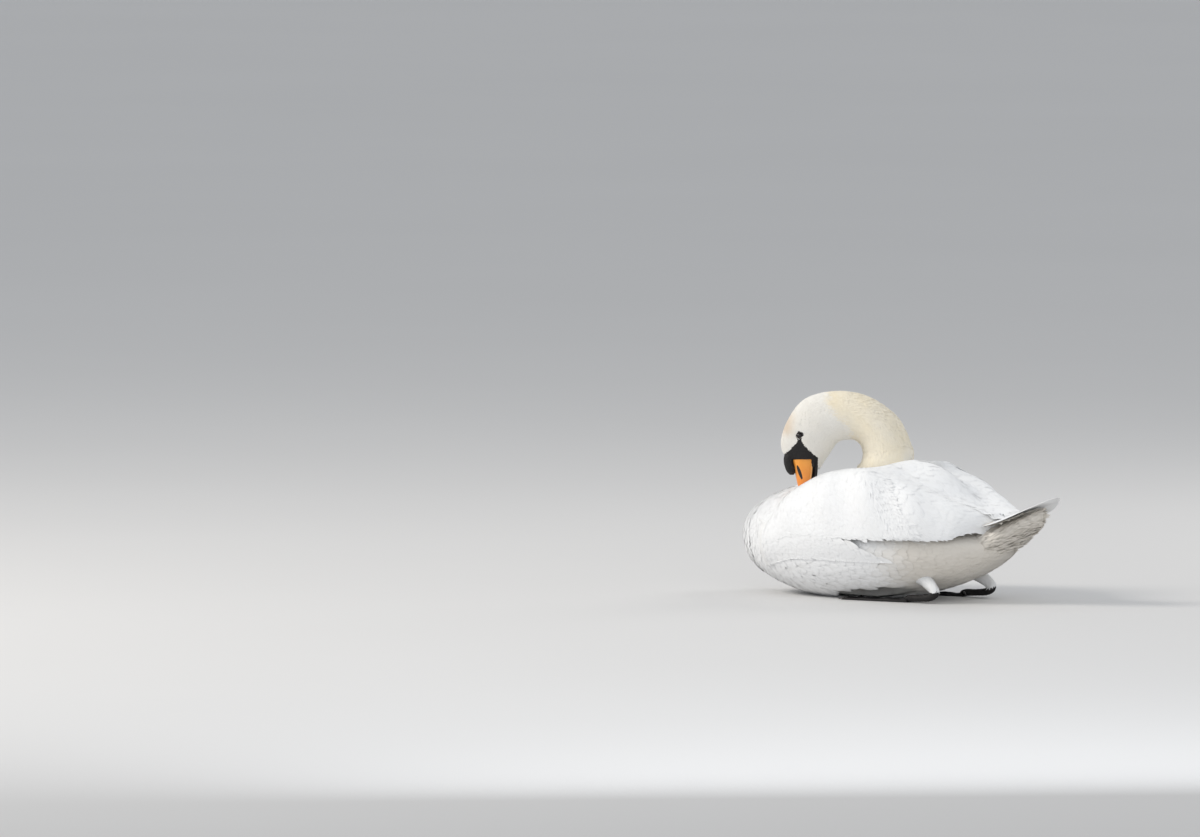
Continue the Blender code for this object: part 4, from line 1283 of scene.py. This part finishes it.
def ring_piece(name, grid, finish):
    """A closed ring over a grid that joins up both ways."""
    rows, columns, _ = grid.shape
    r, c = np.meshgrid(np.arange(rows), np.arange(columns), indexing="ij")
    a = (r * columns + c).ravel()
    b = (((r + 1) % rows) * columns + c).ravel()
    d = (r * columns + (c + 1) % columns).ravel()
    e = (((r + 1) % rows) * columns + (c + 1) % columns).ravel()
    faces = np.vstack([np.column_stack([a, b, e]), np.column_stack([a, e, d])])
    points = grid.reshape(-1, 3)
    centred = points - points.mean(axis=0)
    return mesh_piece(name, points, outward_faces(centred, faces), finish)


# ---------------------------------------------------------------- legs and feet

LEG_ROUTE = (
    # x, distance from the middle, height, radius along, radius across
    (0.158, 0.078, 0.054, 0.0150, 0.0135),
    (0.186, 0.084, 0.043, 0.0125, 0.0110),
    (0.207, 0.089, 0.0285, 0.0100, 0.0085),
    (0.211, 0.090, 0.0190, 0.0088, 0.0078),
    (0.198, 0.091, 0.0115, 0.0072, 0.0064),
    (0.176, 0.0895, 0.0090, 0.0064, 0.0058),
    (0.154, 0.088, 0.0080, 0.0068, 0.0070),
    (0.143, 0.088, 0.0062, 0.0050, 0.0060),
)
LEG_ROWS = len(LEG_ROUTE)
FEATHERED = 2.3  # rows of the leg, from the belly down, that are feathered


def leg_form(hand):
    """The leg: u runs along its rows from the belly to the toes, v is the angle round it; oval sections lie
    square to its line."""
    fine = np.linspace(0, LEG_ROWS - 1, 241)
    line = through(LEG_ROUTE, fine)
    line[:, 1] *= hand
    ahead = unit(np.gradient(line[:, :3], axis=0))
    beside = unit(np.cross(ahead, np.array([0.0, 1.0, 0.0])))
    across = np.cross(beside, ahead)

    def form(u, v):
        """Points at each u and v, as told above."""
        at = [
            np.stack([np.interp(u, fine, column) for column in rows.T], axis=-1)
            for rows in (line, beside, across)
        ]
        thick, wide = at[0][..., 3:4], at[0][..., 4:5]
        points = at[0][..., :3] + at[1] * thick * np.cos(v)[..., None] + at[2] * wide * np.sin(v)[..., None]
        points[..., 2] = np.maximum(points[..., 2], 0.0004)
        return points

    return form


def legs(black, finish):
    """Each leg a tube with its scutes as sines along it, its upper length feathered by small white
    locks."""
    locks = []
    for side, hand in (("left", -1), ("right", 1)):
        form = leg_form(hand)
        u, v = round_grid(np.linspace(0, LEG_ROWS - 1, 170), 36)
        rings = form(u, v)
        scutes = np.abs(np.sin(9.5 * u + 0.6 * np.cos(v))) ** 0.5 * (0.4 + 0.6 * np.abs(np.cos(v)))
        bare = ease((u - FEATHERED + 0.3) / 0.5)
        rings = sunk_by(rings, 0.0014 * (1 - bare) + 0.0005 * bare * (1 - scutes))
        tube_piece(f"shank_{side}", rings, black, (f"leg_{side}",))
        roots_u, roots_v = staggered((0.0, FEATHERED), 26, (0, 2 * math.pi), 30)
        roots = form(roots_u, roots_v)
        along, _, normal = slopes(form, roots_u, roots_v, 0.02, 0.02)
        outward = 1 if ((normal * (roots - form(roots_u, roots_v + math.pi))).sum(1) > 0).mean() > 0.5 else -1
        place = np.column_stack([0.02 + 0.3 * roots_u / LEG_ROWS, 0.02 + 0.9 * roots_v / 7])
        locks.append(
            grow(
                form, outward, roots_u, roots_v, along, 0.010 + 0 * roots_u, 0.0036 + 0 * roots_u, LOCK,
                -0.0008, 0.0008 + 0 * roots_u, (0.0, LEG_ROWS - 1.0, 0.02, 0.02), place, CLEAN,
                spread=0.15, curve=0.08,
            )
        )
    coat_piece("thigh_feathers", locks, finish)


TOE_LINES = (-0.93, 0.0, 0.93)  # where the three front toes run across the web
TOE_SHARES = (0.92, 1.0, 0.94)  # and how much of its length each one reaches


def foot_edge(across):
    """Share of the foot's length the web reaches: hollow between the toes, as a squared cosine."""
    reach = np.interp(across, TOE_LINES, TOE_SHARES)
    return reach - 0.070 * np.sin(math.pi * np.abs(across / 0.93)) ** 2


def feet(black, claw_finish):
    """Each foot a closed web over three toes. Its top is thin skin plus a ridge along each toe, a bell
    curve across it swelling at the joints as a cosine; its sole is flat. A claw and a hind toe are bent
    cones."""
    for side, hand in (("left", -1), ("right", 1)):
        t, v = round_grid(np.linspace(0, 1, 110), 120)
        across = np.cos(v)
        along = t * foot_edge(across)
        x = FOOT_HEEL_X - FOOT_LENGTH * along
        half = 0.0075 + (FOOT_HALF - 0.0085) * along**0.8
        joints = 1 + 0.22 * np.cos(2 * math.pi * 3.2 * along)
        ridge = sum(np.exp(-(((across - line) * half / 0.0036) ** 2)) for line in TOE_LINES)
        slim = np.sqrt(np.clip((1 - t) / 0.05, 0, 1)) * np.sqrt(np.clip(t / 0.03, 0.05, 1))
        creases = 0.00015 * np.sin(900 * along * FOOT_LENGTH) * (1 - np.clip(ridge, 0, 1))
        top = (0.0016 + 0.0052 * (1 - 0.45 * along) * joints * np.clip(ridge, 0, 1.1) + creases) * slim
        z = 0.0004 + np.where(np.sin(v) > 0, top * np.abs(np.sin(v)) ** 0.3, 0.0)
        rings = np.stack([x, hand * (FOOT_Y + half * across), z], axis=-1)
        tube_piece(f"web_{side}", rings, black, (f"foot_{side}",))
        cones = []
        for line, share in zip(TOE_LINES, TOE_SHARES):
            heel = 0.0075 + (FOOT_HALF - 0.0085) * share**0.8
            toe_x = FOOT_HEEL_X - FOOT_LENGTH * share + 0.006
            start = np.array([toe_x, hand * (FOOT_Y + heel * line), 0.0042])
            cones.append(bent_cone(start, np.array([-1.0, 0.10 * hand * line, 0.0]), 0.013, 0.0020, 0.0035))
        hind = np.array([FOOT_HEEL_X + 0.004, hand * (FOOT_Y - 0.008), 0.0085])
        cones.append(bent_cone(hind, np.array([0.75, -0.6 * hand, 0.0]), 0.014, 0.0024, 0.0050))
        points = np.vstack([cone[0] for cone in cones])
        faces = np.vstack([cone[1] + k * len(cone[0]) for k, cone in enumerate(cones)])
        mesh_piece(f"claws_{side}", points, faces, claw_finish)


def bent_cone(start, ahead, length, radius, drop):
    """A closed claw: circles narrowing as the square root of what is left, along a line falling as s^2."""
    s = np.linspace(0, 0.97, 14)
    turn = np.linspace(0, 2 * math.pi, 14, endpoint=False)
    ahead = ahead / np.linalg.norm(ahead)
    beside = np.array([-ahead[1], ahead[0], 0.0])
    line = start + s[:, None] * length * ahead - (drop * s**2)[:, None] * np.array([0, 0, 1.0])
    size = (radius * np.sqrt(1 - s))[:, None, None]
    up = np.array([0, 0, 1.0])
    circle = np.cos(turn)[None, :, None] * beside + np.sin(turn)[None, :, None] * up
    rings = line[:, None] + size * circle
    points = capped(rings)
    points[:, 2] = np.maximum(points[:, 2], 0.0003)
    return points, outward_faces(points - points.mean(axis=0), tube_faces(len(s), len(turn)))


def claw_finish():
    """Dark grey horn with fine long lines and a soft gloss."""
    made, tree, surface = shader("claw horn", 0.38, Specular_IOR_Level=0.4)
    place = place_of(tree)
    stretched = node(tree, "ShaderNodeMapping", {0: place, 3: (200.0, 1500.0, 1500.0)}).outputs[0]
    lines = noise_of(tree, stretched, 1.0, 2.0)
    colour = blend_of(tree, lines, (0.020, 0.018, 0.017, 1), (0.060, 0.054, 0.050, 1))
    dress(tree, surface, colour, lines, 0.3, 0.0002)
    return made


# ---------------------------------------------------------------- room, light and camera


def floor_finish():
    """Pale matt floor with a faint unevenness."""
    made, tree, surface = shader("pale floor", 0.8)
    place = place_of(tree)
    faint = noise_of(tree, place, 0.6, 2.0)
    colour = blend_of(tree, faint, (0.66, 0.655, 0.65, 1), (0.69, 0.685, 0.68, 1))
    dress(tree, surface, colour)
    return made


def studio():
    """Pale floor, an even pale surround, a broad key light and a softer fill."""
    reach = 60.0
    mesh = bpy.data.meshes.new("floor")
    corners = [(-reach, -reach, 0), (reach, -reach, 0), (reach, reach, 0), (-reach, reach, 0)]
    mesh.from_pydata(corners, [], [(0, 1, 2, 3)])
    mesh.materials.append(floor_finish())
    floor = bpy.data.objects.new("floor", mesh)
    bpy.context.scene.collection.objects.link(floor)
    for name, place, size, power, colour in (
        ("key", (-3.5, -4.1, 4.1), 2.2, 238.0, (1.0, 0.955, 0.89)),
        ("fill", (2.4, -2.6, 1.5), 2.6, 24.0, (0.93, 0.96, 1.0)),
        ("rim", (0.6, 3.0, 2.4), 1.8, 26.0, (1.0, 0.98, 0.95)),
    ):
        light = bpy.data.lights.new(name, "AREA")
        light.size = size
        light.energy = power
        light.color = colour
        lamp = bpy.data.objects.new(name, light)
        bpy.context.scene.collection.objects.link(lamp)
        lamp.location = place
        aim = np.array([0.0, 0.0, 0.2]) - np.array(place)
        lamp.rotation_euler = direction(aim)
    world = bpy.data.worlds.new("surround")
    world.use_nodes = True
    world.node_tree.nodes["Background"].inputs["Color"].default_value = (0.93, 0.96, 1.0, 1)
    world.node_tree.nodes["Background"].inputs["Strength"].default_value = 0.60
    bpy.context.scene.world = world
    bpy.context.scene.view_settings.view_transform = "Standard"


def direction(aim):
    """Turn that points a lamp or camera along a direction, its top upwards."""
    level = math.hypot(aim[0], aim[1])
    return (math.pi / 2 + math.atan2(aim[2], level), 0.0, math.atan2(aim[1], aim[0]) - math.pi / 2)


VIEW_AZIMUTH = math.radians(38)
VIEW_RISE = math.radians(4)
VIEW_FAR = 30.0
FRAME_WIDTH = 2.28  # metres across the picture at the swan
VIEW_LEFT = 0.5206  # the swan stands this far right of the picture's middle
VIEW_UP = 0.2366


def camera():
    """Long lens from the swan's left rear quarter, a little above the floor, the swan low on the right."""
    right = np.array([math.cos(VIEW_AZIMUTH), math.sin(VIEW_AZIMUTH), 0])
    back = np.array(
        [
            math.sin(VIEW_AZIMUTH) * math.cos(VIEW_RISE),
            -math.cos(VIEW_AZIMUTH) * math.cos(VIEW_RISE),
            math.sin(VIEW_RISE),
        ]
    )
    up = np.cross(back, right)
    aim = np.array([0, 0, WATERLINE]) - VIEW_LEFT * right + VIEW_UP * up
    lens = bpy.data.cameras.new("camera")
    lens.sensor_width = 36.0
    lens.lens = 36.0 * VIEW_FAR / FRAME_WIDTH
    lens.clip_end = 200.0
    made = bpy.data.objects.new("camera", lens)
    made.location = aim + back * VIEW_FAR
    made.rotation_euler = (math.pi / 2 - VIEW_RISE, 0.0, VIEW_AZIMUTH)
    bpy.context.scene.collection.objects.link(made)
    bpy.context.scene.camera = made


# ---------------------------------------------------------------- the swan


def build():
    """Makes the finishes once, then each piece of the swan with its own, then the room and the camera."""
    short = feather_finish("short feathers", 30.0, 0.30, 0.0001, 0.35)
    contour = feather_finish("contour feathers", 150.0, 0.45, 0.05, 0.16)
    quill = feather_finish("quill feathers", 260.0, 0.60, 0.06, 0.20)
    black = black_skin_finish()
    body_skin(skin_finish())
    neck_coat(short)
    trunk_coat(contour)
    back_coat(contour)
    for name, hand in (("left_wing", -1), ("right_wing", 1)):
        wing_coat(name, hand, contour, quill)
    tail_feathers(quill)
    tail_coverts(contour)
    face_skin(black)
    bill(bill_finish(), black)
    knob_piece(black)
    eyes(eye_finish(), black)
    legs(black, short)
    feet(black, claw_finish())
    studio()
    camera()


build()
